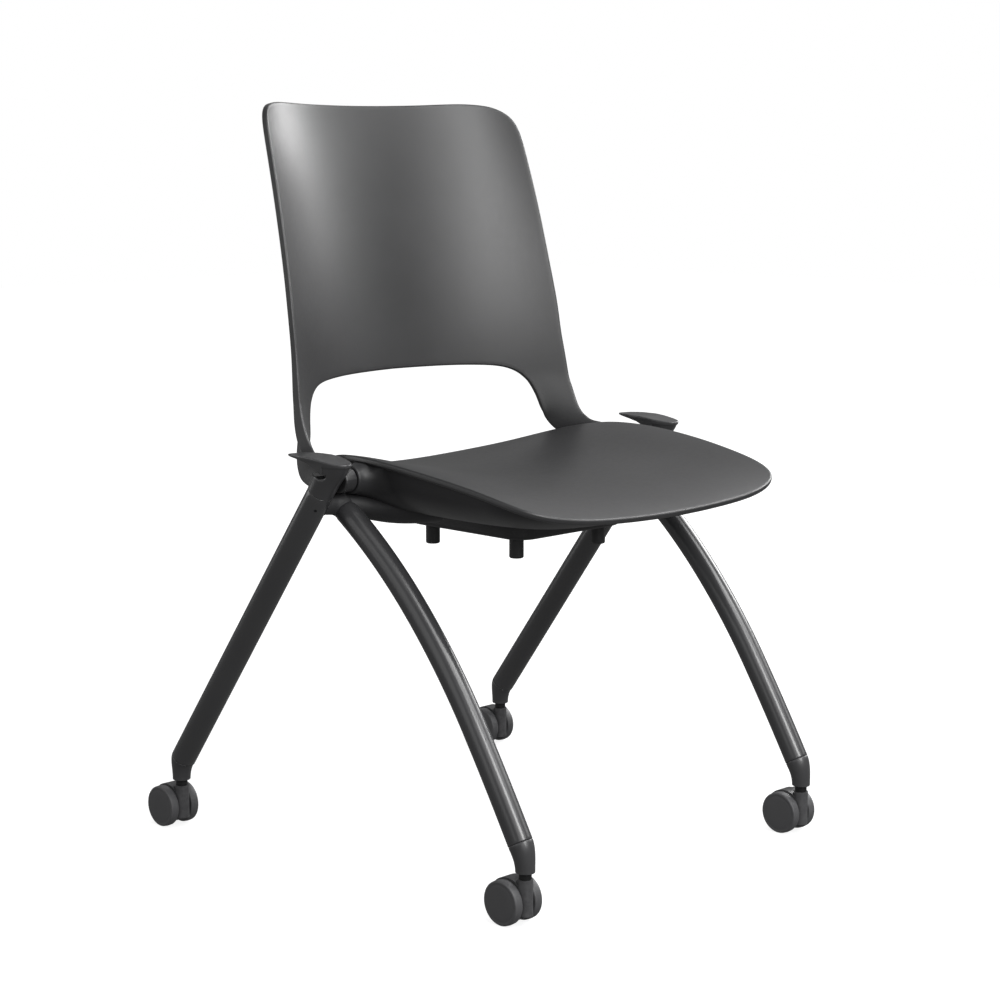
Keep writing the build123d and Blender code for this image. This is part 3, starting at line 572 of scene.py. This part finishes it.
# ------------------------------------------------------------------ back shell
def build_back():
    r = 2.3
    full_out, _ = curve([(x, z) for x, z in BACK_OUT])
    full_in, _ = curve([(x, z) for x, z in BACK_IN])
    out = inset_curve(full_out, r, -1)
    inn = inset_curve(full_in, r, -1)
    so = np.linspace(0, 1, 3000)
    po, pi = out(so), inn(so)
    z_q = 533.0
    uq = so[int(np.argmin(np.abs(po[:, 1] - z_q)))]
    up = so[int(np.argmin(np.abs(pi[:, 1] - z_q)))]
    d = np.gradient(po, axis=0)
    ang = np.degrees(np.arctan2(-d[:, 1], d[:, 0]))
    uc = so[int(np.argmax(ang > 45))]
    P, Q = inn([up])[0], out([uq])[0]
    n_in, n_leg, nv = 36, 14, 80
    nu = n_in + n_leg
    frac = n_in / nu

    def bottom(u):
        u = np.asarray(u)
        a = inn(np.clip(1 - (1 - up) * np.clip(u / frac, 0, 1), 0, 1))
        w = np.clip((u - frac) / (1 - frac), 0, 1)[:, None]
        return np.where((u <= frac)[:, None], a, P + (Q - P) * w)

    cx = out([uc])[0][0]
    tt_ = np.linspace(0, uc, 1500)
    ptop = out(tt_)

    def top(u):
        xs = bottom(np.asarray(u))[:, 0] / Q[0] * cx
        return out(np.interp(xs, ptop[:, 0], tt_))

    def left(v):
        v = np.asarray(v)
        zb, zt = inn([1.0])[0][1], out([0.0])[0][1]
        return np.c_[np.zeros(len(v)), zb + (zt - zb) * v]

    def right(v):
        return out(uq + (uc - uq) * np.asarray(v))
    g = coons(bottom, top, left, right, nu, nv)
    flat = g.reshape(-1, 2)
    panel = np.c_[flat[:, 0], back_y(flat[:, 0], flat[:, 1]), flat[:, 1]]
    pf = grid_faces(nv + 1, nu + 1)
    tp = back_t(panel[:, 2])

    # leg rows: inner and outer edge of the front face, thickness
    keys = []
    for z, t in ((533.0, float(back_t(533.0))), (525.0, 9.3)):
        xi = float(np.interp(z, pi[:, 1], pi[:, 0]))
        xo = float(np.interp(z, po[::-1, 1], po[::-1, 0]))
        keys.append((np.array([(xi, back_y(xi, z), z), (xo, back_y(xo, z), z)]), t))
    for a, b, t in BAND:
        a, b = np.array(a), np.array(b)
        e = (b - a) / np.linalg.norm(b - a) * r
        keys.append((np.array([a + e, b - e]), t))
    for y, z0, z1 in EAR_TIP:
        keys.append((np.array([(241.5, y, z0 + r), (241.5, y, z1 - r)]), 16.9))
    mid = np.array([k[0].mean(0) for k in keys])
    s = np.r_[0, np.cumsum(np.linalg.norm(np.diff(mid, axis=0), axis=1))]
    rows = cubic(s, np.array([np.r_[k[0].ravel(), k[1]] for k in keys]))
    ss = np.r_[np.linspace(0, s[9], 56), s[10:]]
    R = rows(ss)
    ea, eb, tk = R[:, 0:3], R[:, 3:6], R[:, 6]
    tau = np.linspace(0, 1, n_leg + 1)
    leg = ea[:, None] * (1 - tau)[None, :, None] + eb[:, None] * tau[None, :, None]
    # the panel's crown fades out over the first rows
    first = panel.reshape(nv + 1, nu + 1, 3)[0, n_in:]
    for k in range(10):
        w = 0.5 + 0.5 * math.cos(math.pi * k / 10)
        leg[k] += (first - (ea[0] * (1 - tau)[:, None] + eb[0] * tau[:, None])) * w
    leg[0] = first
    lv = leg.reshape(-1, 3)
    lf = grid_faces(len(leg), n_leg + 1, len(panel))
    v = np.vstack([panel, lv])
    t = np.r_[tp, np.repeat(tk, n_leg + 1)]
    f = [tuple(q) for q in pf] + [tuple(q[::-1]) for q in lf]
    vm = v * np.array([-1, 1, 1])
    fm = [tuple(i + len(v) for i in q[::-1]) for q in f]
    vv, ff, firsts = weld(np.vstack([v, vm]), f + fm, 0.01)
    tt = np.r_[t, t][firsts]
    n = vertex_normals(vv, ff)
    k = int(np.argmin(np.abs(vv[:, 0]) + np.abs(vv[:, 2] - 700)))
    if n[k][1] > 0:
        ff = ff[:, ::-1]
    # the panel runs into the legs without a crease
    nb = [ff[:, [i, (i + 1) % 4]] for i in range(4)]
    w = np.clip((vv[:, 2] - 478) / 20, 0, 1) * np.clip((588 - vv[:, 2]) / 25, 0, 1) * np.clip((np.abs(vv[:, 0]) - 140) / 30, 0, 1)
    off = vv[:, 1] - back_y(vv[:, 0], vv[:, 2])
    for _ in range(60):
        acc, cnt = np.zeros(len(off)), np.zeros(len(off))
        for e in nb:
            np.add.at(acc, e[:, 0], off[e[:, 1]])
            np.add.at(acc, e[:, 1], off[e[:, 0]])
            np.add.at(cnt, e[:, 0], 1)
            np.add.at(cnt, e[:, 1], 1)
        off += 0.5 * w * (acc / np.maximum(cnt, 1) - off)
    vv[:, 1] = off + back_y(vv[:, 0], vv[:, 2])
    for _ in range(4):          # even out the change of thickness
        acc, cnt = tt.copy(), np.ones(len(tt))
        for i in range(4):
            np.add.at(acc, ff[:, i], tt[ff[:, (i + 1) % 4]])
            np.add.at(cnt, ff[:, i], 1)
        tt = acc / cnt
    verts, faces = thick_sheet(vv, ff, tt, r, arc=6)
    ob = make_object("back_shell_moulding", to_m(verts), faces)
    dress(ob, SHELL)
    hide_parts("back_shell")
    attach(ob, "frame")
    return ob


# ------------------------------------------------------------------ cast pieces
LEG_D = np.array([0.0, -1.0, 1.3557]) / math.hypot(1.0, 1.3557)


def build_caps():
    leaf = smooth_closed(LEAF)

    def field(P):
        X, Y, Z = P
        z_top = np.interp(Y, (225, 240, 258, 272, 284, 306, 322, 340), (474.6, 476.2, 478.4, 480.3, 481.3, 481.4, 480.7, 479.0))
        z_bot = np.interp(Y, (230, 250, 262, 263.2, 275, 286.7, 300.3, 314, 326, 334),
                          (472.0, 473.0, 473.0, 462.6, 468.2, 473.0, 475.4, 476.6, 477.2, 477.6))
        side = poly_dist(X, Y, leaf)
        pad = smax(smax(side, z_bot - Z, 1.2), Z - z_top, 1.0)
        post = line_dist(P, (273.5, rear_y(453.0), 453.0), LEG_D, 15.0)
        # the post spreads into the outline of the pad towards its top
        t = np.clip((Z - 434.0) / 44.0, 0, 1) ** 2.4
        body = (1 - t) * post + t * (side + 0.4)
        body = smin(body, pad, 3.0)
        along = (Y - rear_y(441.0)) * LEG_D[1] + (Z - 441.0) * LEG_D[2]
        body = smax(body, Z - z_top, 1.0)
        cut = poly_dist(Y, Z, NOTCH)
        body = smax(body, -cut, 1.2)
        return np.maximum(body, -along)
    v, f = nets(field, (252, 229, 428), (294, 337, 485), 0.8)
    for side in (1, -1):
        w, q = (v, f) if side > 0 else mirrored(v, f)
        name = "left" if side > 0 else "right"
        ob = make_object("handle_cap_casting_" + name, to_m(w), q)
        dress(ob, CAST)
        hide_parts("handle_cap_" + name)
        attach(ob, "frame")


def build_knuckles():
    ky, kz, kr = KNUCKLE
    d = np.array([0.0, math.cos(math.radians(33.8)), math.sin(math.radians(33.8))])

    def field(P):
        X, Y, Z = P
        ball = seg_dist(P, (237, ky, kz), (237.5, ky, kz), kr)
        link = seg_dist(P, (237, LEG_END[0] - 3 * d[1], LEG_END[1] - 3 * d[2]), (237, ky, kz), 13.95)
        stub = seg_dist(P, (237, ky, kz), (262, 294.0, STUB_Z), kr - 0.4, STUB_R)
        body = smin(smin(ball, link, 3.0), stub, 4.0)
        leg = line_dist(P, (273.5, rear_y(STUB_Z), STUB_Z), LEG_D, 15.05)
        body = smin(body, np.maximum(leg, np.abs(Z - STUB_Z) - 30), 2.0)
        body = np.maximum(body, -leg)
        # the front tube keeps its own metal
        cut = (Y - LEG_END[0]) * d[1] + (Z - LEG_END[1]) * d[2]
        return np.maximum(body, -cut)
    v, f = nets(field, (217, 268, 402), (275, 315, 442), 0.8)
    for side in (1, -1):
        w, q = (v, f) if side > 0 else mirrored(v, f)
        name = "left" if side > 0 else "right"
        ob = make_object("leg_knuckle_" + name, to_m(w), q)
        dress(ob, ARM_SHADED_COAT)
        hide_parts("leg_junction_" + name)
        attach(ob, "frame")


def build_cover():
    """moulded hull under the seat with the pivot bosses, one smooth form"""
    by = np.array([b[0] for b in BELLY], float)
    sec = cubic(by, np.array([b[1:] for b in BELLY], float))
    arm = np.array(ARM)
    at = np.linspace(0, 1, len(arm))
    dense = cubic(at, arm)(np.linspace(0, 1, 40))
    # the arm in the seat's frame: x, distance from the hinge line, starting angle
    ax_, ar_ = dense[:, 0], np.hypot(dense[:, 1] - PIVOT_Y, dense[:, 2] - PIVOT_Z)
    aa_ = np.arctan2(dense[:, 2] - PIVOT_Z, dense[:, 1] - PIVOT_Y)
    o = np.argsort(ax_)
    ax_, ar_, aa_, rr_ = ax_[o], ar_[o], aa_[o], dense[o, 3]

    def field(P):
        X, Y, Z = P
        yc = np.clip(Y, 26, 418)
        q = sec(np.ravel(yc)).reshape(np.shape(yc) + (3,))
        a, zt, zb = q[..., 0], q[..., 1], q[..., 2]
        e = 2.9
        hh = zt - zb
        f = (np.maximum(np.abs(X) / a, 1e-4) ** e + np.maximum((zt - Z) / hh, 0) ** e) ** (1 / e)
        # size of the gradient, to turn f into a distance
        gx = (np.abs(X) / a) ** (e - 1) / a
        gz = np.maximum((zt - Z) / hh, 0) ** (e - 1) / hh
        gl = np.sqrt(gx ** 2 + gz ** 2 + (0.4 * gz) ** 2) / np.maximum(f, 1e-3) ** (e - 1)
        hull = (f - 1) / np.maximum(gl, 1 / 120.0)
        hull = smax(hull, np.maximum(26 - Y, Y - 418) + 0 * X, 6.0)
        boss = smin(seg_dist(P, (246.0, PIVOT_Y, PIVOT_Z), (219.0, PIVOT_Y - 0.5, PIVOT_Z - 1.5), 15.8, 16.6),
                    seg_dist(P, (219.0, PIVOT_Y - 0.5, PIVOT_Z - 1.5), (176.0, PIVOT_Y - 8, PIVOT_Z - 12), 16.6, 27.0), 6.0)
        body = smin(hull, boss, 18.0)
        under = Z - (seat_z(X, Y) - 7.0)
        body = smax(body, under, 0.8)
        body = np.maximum(body, np.abs(X) - 240.6)
        # trough of the arm through the tipping range
        r = np.sqrt((Y - PIVOT_Y) ** 2 + (Z - PIVOT_Z) ** 2)
        phi = np.arctan2(Z - PIVOT_Z, Y - PIVOT_Y)
        r0, p0, ra = np.interp(X, ax_, ar_), np.interp(X, ax_, aa_), np.interp(X, ax_, rr_)
        near = np.clip(phi, p0, p0 + math.radians(76))
        near = np.where(phi > math.radians(125), p0, near)
        ty, tz = PIVOT_Y + r0 * np.cos(near), PIVOT_Z + r0 * np.sin(near)
        tube = np.sqrt((Y - ty) ** 2 + (Z - tz) ** 2) - (ra + 2.4 + np.clip((X - 222) / 8, 0, 1) * 0.8)
        tube = np.maximum(tube, 118 - X)
        body = smax(body, -tube, 1.5)
        # mouth for the tray
        dx, dy = np.abs(X) - 91.0 + 26, np.abs(Y - 249.5) - 98.5 + 26
        box = np.sqrt(np.maximum(dx, 0) ** 2 + np.maximum(dy, 0) ** 2) + np.minimum(np.maximum(dx, dy), 0) - 26.0
        body = np.maximum(body, -np.maximum(box - 0.4, Z - 420.0))
        return body
    v, f = nets(field, (-1.6, 22, 391), (242, 422, 478), 1.6)
    # keep the right half and mirror it over the middle plane
    keep = (v[f][:, :, 0] > -0.9).all(1)
    f = f[keep]
    used, inv = np.unique(f, return_inverse=True)
    v, f = v[used], inv.reshape(f.shape)
    v[np.abs(v[:, 0]) < 1.3, 0] = 0.0
    m, g = mirrored(v, f)
    allv, allf = np.vstack([v, m]), np.vstack([f, g + len(v)])
    allv, allf, _ = weld(allv, allf, 0.01)
    ob = make_object("seat_under_cover_moulding", to_m(allv), allf)
    dress(ob, COVER)
    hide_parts("seat_under_cover")
    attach(ob, "seat")
    return ob


def build_sleeves():
    """pivot sleeves inside the bosses of the cover"""
    prof = [(213.0, 8.1), (213.0, 11.6)] + [(213.6, 12.4), (239.6, 12.4), (240.5, 11.6), (240.5, 8.1)]
    for side, s in (("left", 1), ("right", -1)):
        ob = turned("pivot_sleeve_" + side, (0, PIVOT_Y, PIVOT_Z), [(s * x, r) for x, r in prof + prof[:1]])
        dress(ob, ARM_SHADED_COAT)
        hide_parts("pivot_bracket_" + side)
        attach(ob, "seat")


# ------------------------------------------------------------------ castors and sockets
def turned(name, centre, profile, n=96):
    """solid of revolution about an axis along X: profile points are (x offset, radius), closed ends"""
    rings, verts, faces = [], [], []
    for x, r in profile:
        if r < 1e-6:
            rings.append([len(verts)])
            verts.append((centre[0] + x, centre[1], centre[2]))
            continue
        ids = []
        for k in range(n):
            a = 2 * math.pi * k / n
            ids.append(len(verts))
            verts.append((centre[0] + x, centre[1] + r * math.cos(a), centre[2] + r * math.sin(a)))
        rings.append(ids)
    for a, b in zip(rings, rings[1:]):
        for k in range(n):
            j = (k + 1) % n
            if len(a) == 1:
                faces.append((a[0], b[j], b[k]))
            elif len(b) == 1:
                faces.append((a[k], a[j], b[0]))
            else:
                faces.append((a[k], a[j], b[j], b[k]))
    v = np.array(verts, float)
    # outward normals whatever the profile's direction
    vol = 0.0
    for f in faces:
        p = v[list(f)] - v[0]
        for i in range(1, len(f) - 1):
            vol += np.dot(p[0], np.cross(p[i], p[i + 1]))
    if vol < 0:
        faces = [f[::-1] for f in faces]
    return make_object(name, to_m(v), faces)


def build_set_screws():
    """screw ends in the rear legs, each with a six-sided recess"""
    u = np.array([0.0, -0.5933, 0.8050])
    n = 24
    verts, faces = [], []
    for s in (1, -1):
        d = np.array([s * 0.5642, -0.6644, -0.4901])
        e1 = np.cross(d, u)
        e1 /= np.linalg.norm(e1)
        e2 = np.cross(d, e1)
        mid = np.array([s * 281.36, 283.19, 421.17])
        rings = []
        for depth, r, six in ((-1.2, 1.78, 0), (1.26, 1.78, 0), (1.40, 1.62, 0), (1.40, 1.05, 1), (1.13, 1.0, 1)):
            ids = []
            for i in range(n):
                w = 2 * math.pi * i / n
                q = r / math.cos((w % (math.pi / 3)) - math.pi / 6) * 0.93 if six else r
                ids.append(len(verts))
                verts.append(mid + d * depth + e1 * q * math.cos(w) + e2 * q * math.sin(w))
            rings.append(ids)
        part = []
        for a, b in zip(rings, rings[1:]):
            for i in range(n):
                j = (i + 1) % n
                part.append((a[i], a[j], b[j], b[i]))
        part.append(tuple(rings[0][::-1]))
        part.append(tuple(rings[-1]))
        vol = 0.0
        for f in part:
            p = [verts[i] - mid for i in f]
            for i in range(1, len(f) - 1):
                vol += np.dot(p[0], np.cross(p[i], p[i + 1]))
        faces += part if vol > 0 else [f[::-1] for f in part]
    ob = make_object("set_screw_ends", to_m(verts), faces, smooth=False)
    dress(ob, STEM)
    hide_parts("leg_set_screws")
    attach(ob, "frame")


def arc_pts(cx, cr, rad, a0, a1, n=6):
    return [(cx + rad * math.cos(math.radians(a0 + (a1 - a0) * k / n)),
             cr + rad * math.sin(math.radians(a0 + (a1 - a0) * k / n))) for k in range(n + 1)]


def build_wheels():
    # half profile outwards from the castor's middle: (distance, radius)
    out = [(9.3, 0.0), (9.3, 22.6)] + arc_pts(11.1, 22.8, 1.9, 180, 100, 6)[1:] + [(12.6, 24.85), (15.2, 25.0), (17.6, 24.75)]
    out += arc_pts(18.7, 22.9, 1.75, 78, 8, 8)
    out += [(20.42, 22.2), (20.3, 21.4), (20.16, 20.7), (20.2, 20.1), (20.34, 19.4), (20.45, 17.0), (20.5, 10.0), (20.5, 0.0)]
    for end, track, ys in (("front", 237.0, 0.0), ("rear", 273.5, 549.0)):
        for side, s in (("left", 1), ("right", -1)):
            order = ("inner", "outer") if s > 0 else ("outer", "inner")
            for tag, d in zip(order, (-1, 1)):
                c = (s * track, ys + 18.2, 25.0)
                ob = turned("wheel_%s_%s_%s_tyre" % (end, side, tag), c, [(d * x, r) for x, r in out])
                dress(ob, WHEEL)
                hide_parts("castor_wheel_%s_%s_%s" % (end, side, tag))
                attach(ob, "wheel_%s_%s_%s" % (end, side, tag))


def tube_mesh(name, x, path, angles, r, wall, n=72):
    """bent tube in the plane x: path of (y, z), slope angles, open ends with rounded rims"""
    verts, rings = [], []

    def ring(c, a, rad):
        ids = []
        for i in range(n):
            w = 2 * math.pi * i / n
            ids.append(len(verts))
            verts.append((x + rad * math.cos(w), c[0] - math.sin(a) * rad * math.sin(w), c[1] + math.cos(a) * rad * math.sin(w)))
        rings.append(ids)
    e = 0.7
    d0 = np.array([math.cos(angles[0]), math.sin(angles[0])])
    d1 = np.array([math.cos(angles[-1]), math.sin(angles[-1])])
    ring(path[0] + d0 * 8, angles[0], r - wall)
    ring(path[0], angles[0], r - wall)
    for w in (0.0, 0.5, 1.0, 1.5708):
        ring(path[0] + d0 * e * (1 - math.cos(w)), angles[0], r - e * (1 - math.sin(w)))
    for c, a in list(zip(path, angles))[1:-1]:
        ring(c, a, r)
    for w in (1.5708, 1.0, 0.5, 0.0):
        ring(path[-1] - d1 * e * (1 - math.cos(w)), angles[-1], r - e * (1 - math.sin(w)))
    ring(path[-1], angles[-1], r - wall)
    ring(path[-1] - d1 * 8, angles[-1], r - wall)
    faces = []
    for a_, b_ in zip(rings, rings[1:]):
        for i in range(n):
            j = (i + 1) % n
            faces.append((a_[i], a_[j], b_[j], b_[i]))
    faces.append(tuple(rings[0][::-1]))
    faces.append(tuple(rings[-1]))
    v = np.array(verts)
    vol = 0.0
    for f in faces:
        q = v[list(f)] - v[0]
        for i in range(1, len(f) - 1):
            vol += np.dot(q[0], np.cross(q[i], q[i + 1]))
    if vol < 0:
        faces = [f[::-1] for f in faces]
    return make_object(name, to_m(v), faces)


def build_tubes():
    y, z, a = 7.25, 90.0, math.radians(59.713)
    path, ang = [np.array([y, z])], [a]
    for length, radius in ((129.3, 2870.5), (153.24, 841.31), (147.47, 656.64)):
        m = int(length / 3)
        for _ in range(m):
            st = length / m
            b = a - st / radius
            y += st * math.cos((a + b) / 2)
            z += st * math.sin((a + b) / 2)
            a = b
            path.append(np.array([y, z]))
            ang.append(a)
    ra = math.pi - math.atan(1.3557)
    rear = [np.array([rear_y(h), h]) for h in np.linspace(88.0, 441.0, 60)]
    for side, s in (("left", 1), ("right", -1)):
        for end, x, pp, aa, r, node in (("front", s * 237.0, path, ang, 14.0, "front_leg_"), ("rear", s * 273.5, rear, [ra] * 60, 15.0, "rear_leg_")):
            ob = tube_mesh("leg_tube_%s_%s" % (end, side), x, pp, aa, r, 1.8)
            dress(ob, TUBE)
            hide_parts(node + side)
            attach(ob, "frame")


def build_sockets():
    n = 64
    for end, track, ys, seam_y, seam_z, r0, ang, r_in in (("front", 237.0, 0.0, 7.25, 90.0, 13.95, 59.713, 11.4),
                                            ("rear", 273.5, 549.0, rear_y(88.0), 88.0, 14.95, 180 - math.degrees(math.atan(1.3557)), 12.4)):
        a = math.radians(ang)
        d = np.array([math.cos(a), math.sin(a)])
        p0 = np.array([seam_y, seam_z]) - d * 0.35
        # where the tube's line meets the castor's line
        k = (ys - p0[0]) / d[0]
        corner = p0 + d * k
        p2 = np.array([ys, 59.3])
        if end == "rear":
            corner = np.array([ys, max(corner[1], 70.0)])
        ts = np.linspace(0, 1, 26)
        cen, nor, rad = [], [], []
        for t in ts:
            c = (1 - t) ** 2 * p0 + 2 * t * (1 - t) * corner + t * t * p2
            g = 2 * (1 - t) * (corner - p0) + 2 * t * (p2 - corner)
            cen.append(c)
            nor.append(g / np.linalg.norm(g))
            rad.append(r0 + (10.8 - r0) * (t * t * (3 - 2 * t)) ** 0.9)
        verts, rings = [], []

        def ring(c, g, r, sgn):
            side = np.array([-g[1], g[0]])
            ids = []
            for i in range(n):
                w = 2 * math.pi * i / n
                ids.append(len(verts))
                yz = c + side * r * math.sin(w)
                verts.append((sgn * track + r * math.cos(w), yz[0], yz[1]))
            rings.append(ids)
        for side, s in (("left", 1), ("right", -1)):
            verts, rings = [], []
            e = 0.9
            # spigot in the tube, then the rounded upper rim
            ring(p0 + d * 9.0, nor[0], r_in, s)
            ring(p0 + d * 0.2, nor[0], r_in, s)
            for w in (0.0, 0.5, 1.0, 1.5708):
                ring(cen[0] + nor[0] * e * (1 - math.cos(w)) * 1.0, nor[0], rad[0] - e * (1 - math.sin(w)), s)
            for c, g, r in list(zip(cen, nor, rad))[2:-2]:
                ring(c, g, r, s)
            for w in (1.5708, 1.0, 0.5, 0.0):
                ring(cen[-1] - nor[-1] * e * (1 - math.cos(w)), nor[-1], rad[-1] - e * (1 - math.sin(w)), s)
            faces = []
            for a_, b_ in zip(rings, rings[1:]):
                for i in range(n):
                    j = (i + 1) % n
                    faces.append((a_[i], a_[j], b_[j], b_[i]))
            faces.append(tuple(rings[0][::-1]))
            faces.append(tuple(rings[-1]))
            v = np.array(verts)
            vol = 0.0
            for f in faces:
                p = v[list(f)] - v[0]
                for i in range(1, len(f) - 1):
                    vol += np.dot(p[0], np.cross(p[i], p[i + 1]))
            if vol < 0:
                faces = [f[::-1] for f in faces]
            ob = make_object("socket_elbow_%s_%s" % (end, side), to_m(v), faces)
            dress(ob, CAST)
            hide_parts("leg_socket_%s_%s" % (end, side))
            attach(ob, "frame")


# ------------------------------------------------------------------ stage
def build_stage():
    me = bpy.data.meshes.new("floor")
    me.from_pydata([(-9, -9, 0), (9, -9, 0), (9, 9, 0), (-9, 9, 0)], [], [(0, 1, 2, 3)])
    floor = bpy.data.objects.new("floor", me)
    bpy.context.scene.collection.objects.link(floor)
    m, nt, b = mat_base("studio_floor")
    b.inputs["Base Color"].default_value = (0.32, 0.32, 0.32, 1)
    b.inputs["Roughness"].default_value = 0.85
    b.inputs["Specular IOR Level"].default_value = 0.05
    b.inputs["Emission Color"].default_value = (1, 1, 1, 1)
    # a pale sweep that runs out to white away from the chair
    tc = nt.nodes.new("ShaderNodeTexCoord")
    far = nt.nodes.new("ShaderNodeVectorMath")
    far.operation = "LENGTH"
    nt.links.new(tc.outputs["Object"], far.inputs[0])
    glow = nt.nodes.new("ShaderNodeMapRange")
    glow.inputs["From Min"].default_value = 0.7
    glow.inputs["From Max"].default_value = 2.4
    glow.inputs["To Min"].default_value = 0.86
    glow.inputs["To Max"].default_value = 1.0
    nt.links.new(far.outputs["Value"], glow.inputs["Value"])
    nt.links.new(glow.outputs["Result"], b.inputs["Emission Strength"])
    floor.data.materials.append(m)
    # the floor is a pale surface to stand on; it does not light the chair from below
    floor.visible_diffuse = False
    floor.visible_glossy = False
    w = bpy.data.worlds.new("studio")
    bpy.context.scene.world = w
    w.use_nodes = True
    nt = w.node_tree
    nt.nodes.clear()
    out = nt.nodes.new("ShaderNodeOutputWorld")
    white = nt.nodes.new("ShaderNodeBackground")
    white.inputs["Color"].default_value = (1, 1, 1, 1)
    white.inputs["Strength"].default_value = 1.0
    room = nt.nodes.new("ShaderNodeBackground")
    room.inputs["Color"].default_value = (1, 1, 1, 1)
    room.inputs["Strength"].default_value = ROOM
    mix = nt.nodes.new("ShaderNodeMixShader")
    path = nt.nodes.new("ShaderNodeLightPath")
    nt.links.new(path.outputs["Is Camera Ray"], mix.inputs[0])
    nt.links.new(room.outputs[0], mix.inputs[1])
    nt.links.new(white.outputs[0], mix.inputs[2])
    nt.links.new(mix.outputs[0], out.inputs["Surface"])


ROOM = 0.17


def area(name, loc, target, size, energy, size_y=None):
    l = bpy.data.lights.new(name, "AREA")
    l.energy = energy
    l.shape = "RECTANGLE"
    l.size, l.size_y = size, size_y or size
    o = bpy.data.objects.new(name, l)
    o.location = loc
    o.rotation_euler = (Vector(target) - Vector(loc)).to_track_quat("-Z", "Y").to_euler()
    o.visible_camera = False
    bpy.context.scene.collection.objects.link(o)
    return o


def softbox(name, az, el, dist, width, height, radiance, target=(0, 0, 0.45)):
    """area light seen from the chair at azimuth az (0 = +Y, 90 = +X) and elevation el"""
    a, e = math.radians(az), math.radians(el)
    t = Vector(target)
    loc = t + dist * Vector((math.sin(a) * math.cos(e), math.cos(a) * math.cos(e), math.sin(e)))
    return area(name, loc, t, width, radiance * math.pi * width * height, height)


def build_lights():
    softbox("light_right", 90, 32, 3.6, 1.8, 1.5, 5.4)
    softbox("light_right_low", 90, 20, 3.58, 1.8, 1.0, 6.8)
    softbox("light_right_front", 118, 22, 3.6, 1.6, 1.3, 2.0)
    softbox("light_front_right", 156, 42, 3.6, 1.2, 1.6, 3.6)
    softbox("light_front_right_low", 167, 14, 3.6, 1.3, 1.1, 0.7)
    softbox("light_front", 187, 26, 3.6, 1.1, 1.7, 9.5)
    softbox("light_front_high", 176, 54, 3.6, 2.2, 1.4, 4.2)
    softbox("light_front_side", 211, 18, 3.6, 1.8, 2.2, 1.2)
    softbox("light_side", 266, 20, 3.6, 2.2, 2.2, 0.6)
    softbox("light_back_side", 300, 18, 3.6, 1.8, 2.0, 0.5)
    softbox("light_rim", 330, 10, 3.6, 1.9, 1.4, 1.5)
    softbox("light_back_right", 48, 30, 3.6, 2.6, 1.5, 0.35)
    softbox("light_top", 240, 66, 3.6, 1.8, 1.6, 0.6)


def build_camera():
    c = bpy.data.cameras.new("camera")
    c.sensor_width = 36.0
    c.lens = 83.60136
    c.clip_start, c.clip_end = 0.05, 50
    o = bpy.data.objects.new("camera", c)
    o.location = (-1.9327, -1.95244, 0.83243)
    o.rotation_euler = (math.radians(90 - 8.9326), 0, math.radians(-44.9455))
    bpy.context.scene.collection.objects.link(o)
    bpy.context.scene.camera = o


build_camera()
build_stage()
build_lights()
build_seat()
build_back()
build_caps()
build_knuckles()
build_cover()
build_sleeves()
build_set_screws()
build_wheels()
build_sockets()
build_tubes()

SLOT_MAT = {"tube_coat": TUBE, "casting_coat": CAST, "shell_plastic": SHELL, "cover_plastic": COVER,
            "castor_plastic": NYLON, "wheel_plastic": WHEEL, "rubber_black": RUBBER, "bush_nylon": NYLON,
            "pin_steel": STEEL, "screw_black": SCREW}
for item in frame["record"]["subparts"]:
    dress(NODES[item["node"]], SLOT_MAT[item["material_slot"]])
for side in ("left", "right"):
    # the arms take the painted-shade copy of the powder coat
    dress(NODES["cross_arm_" + side], ARM_SHADED_COAT)
    for end in ("front", "rear"):
        dress(NODES["castor_stem_" + end + "_" + side], STEM)

bpy.context.scene.view_settings.view_transform = "Standard"
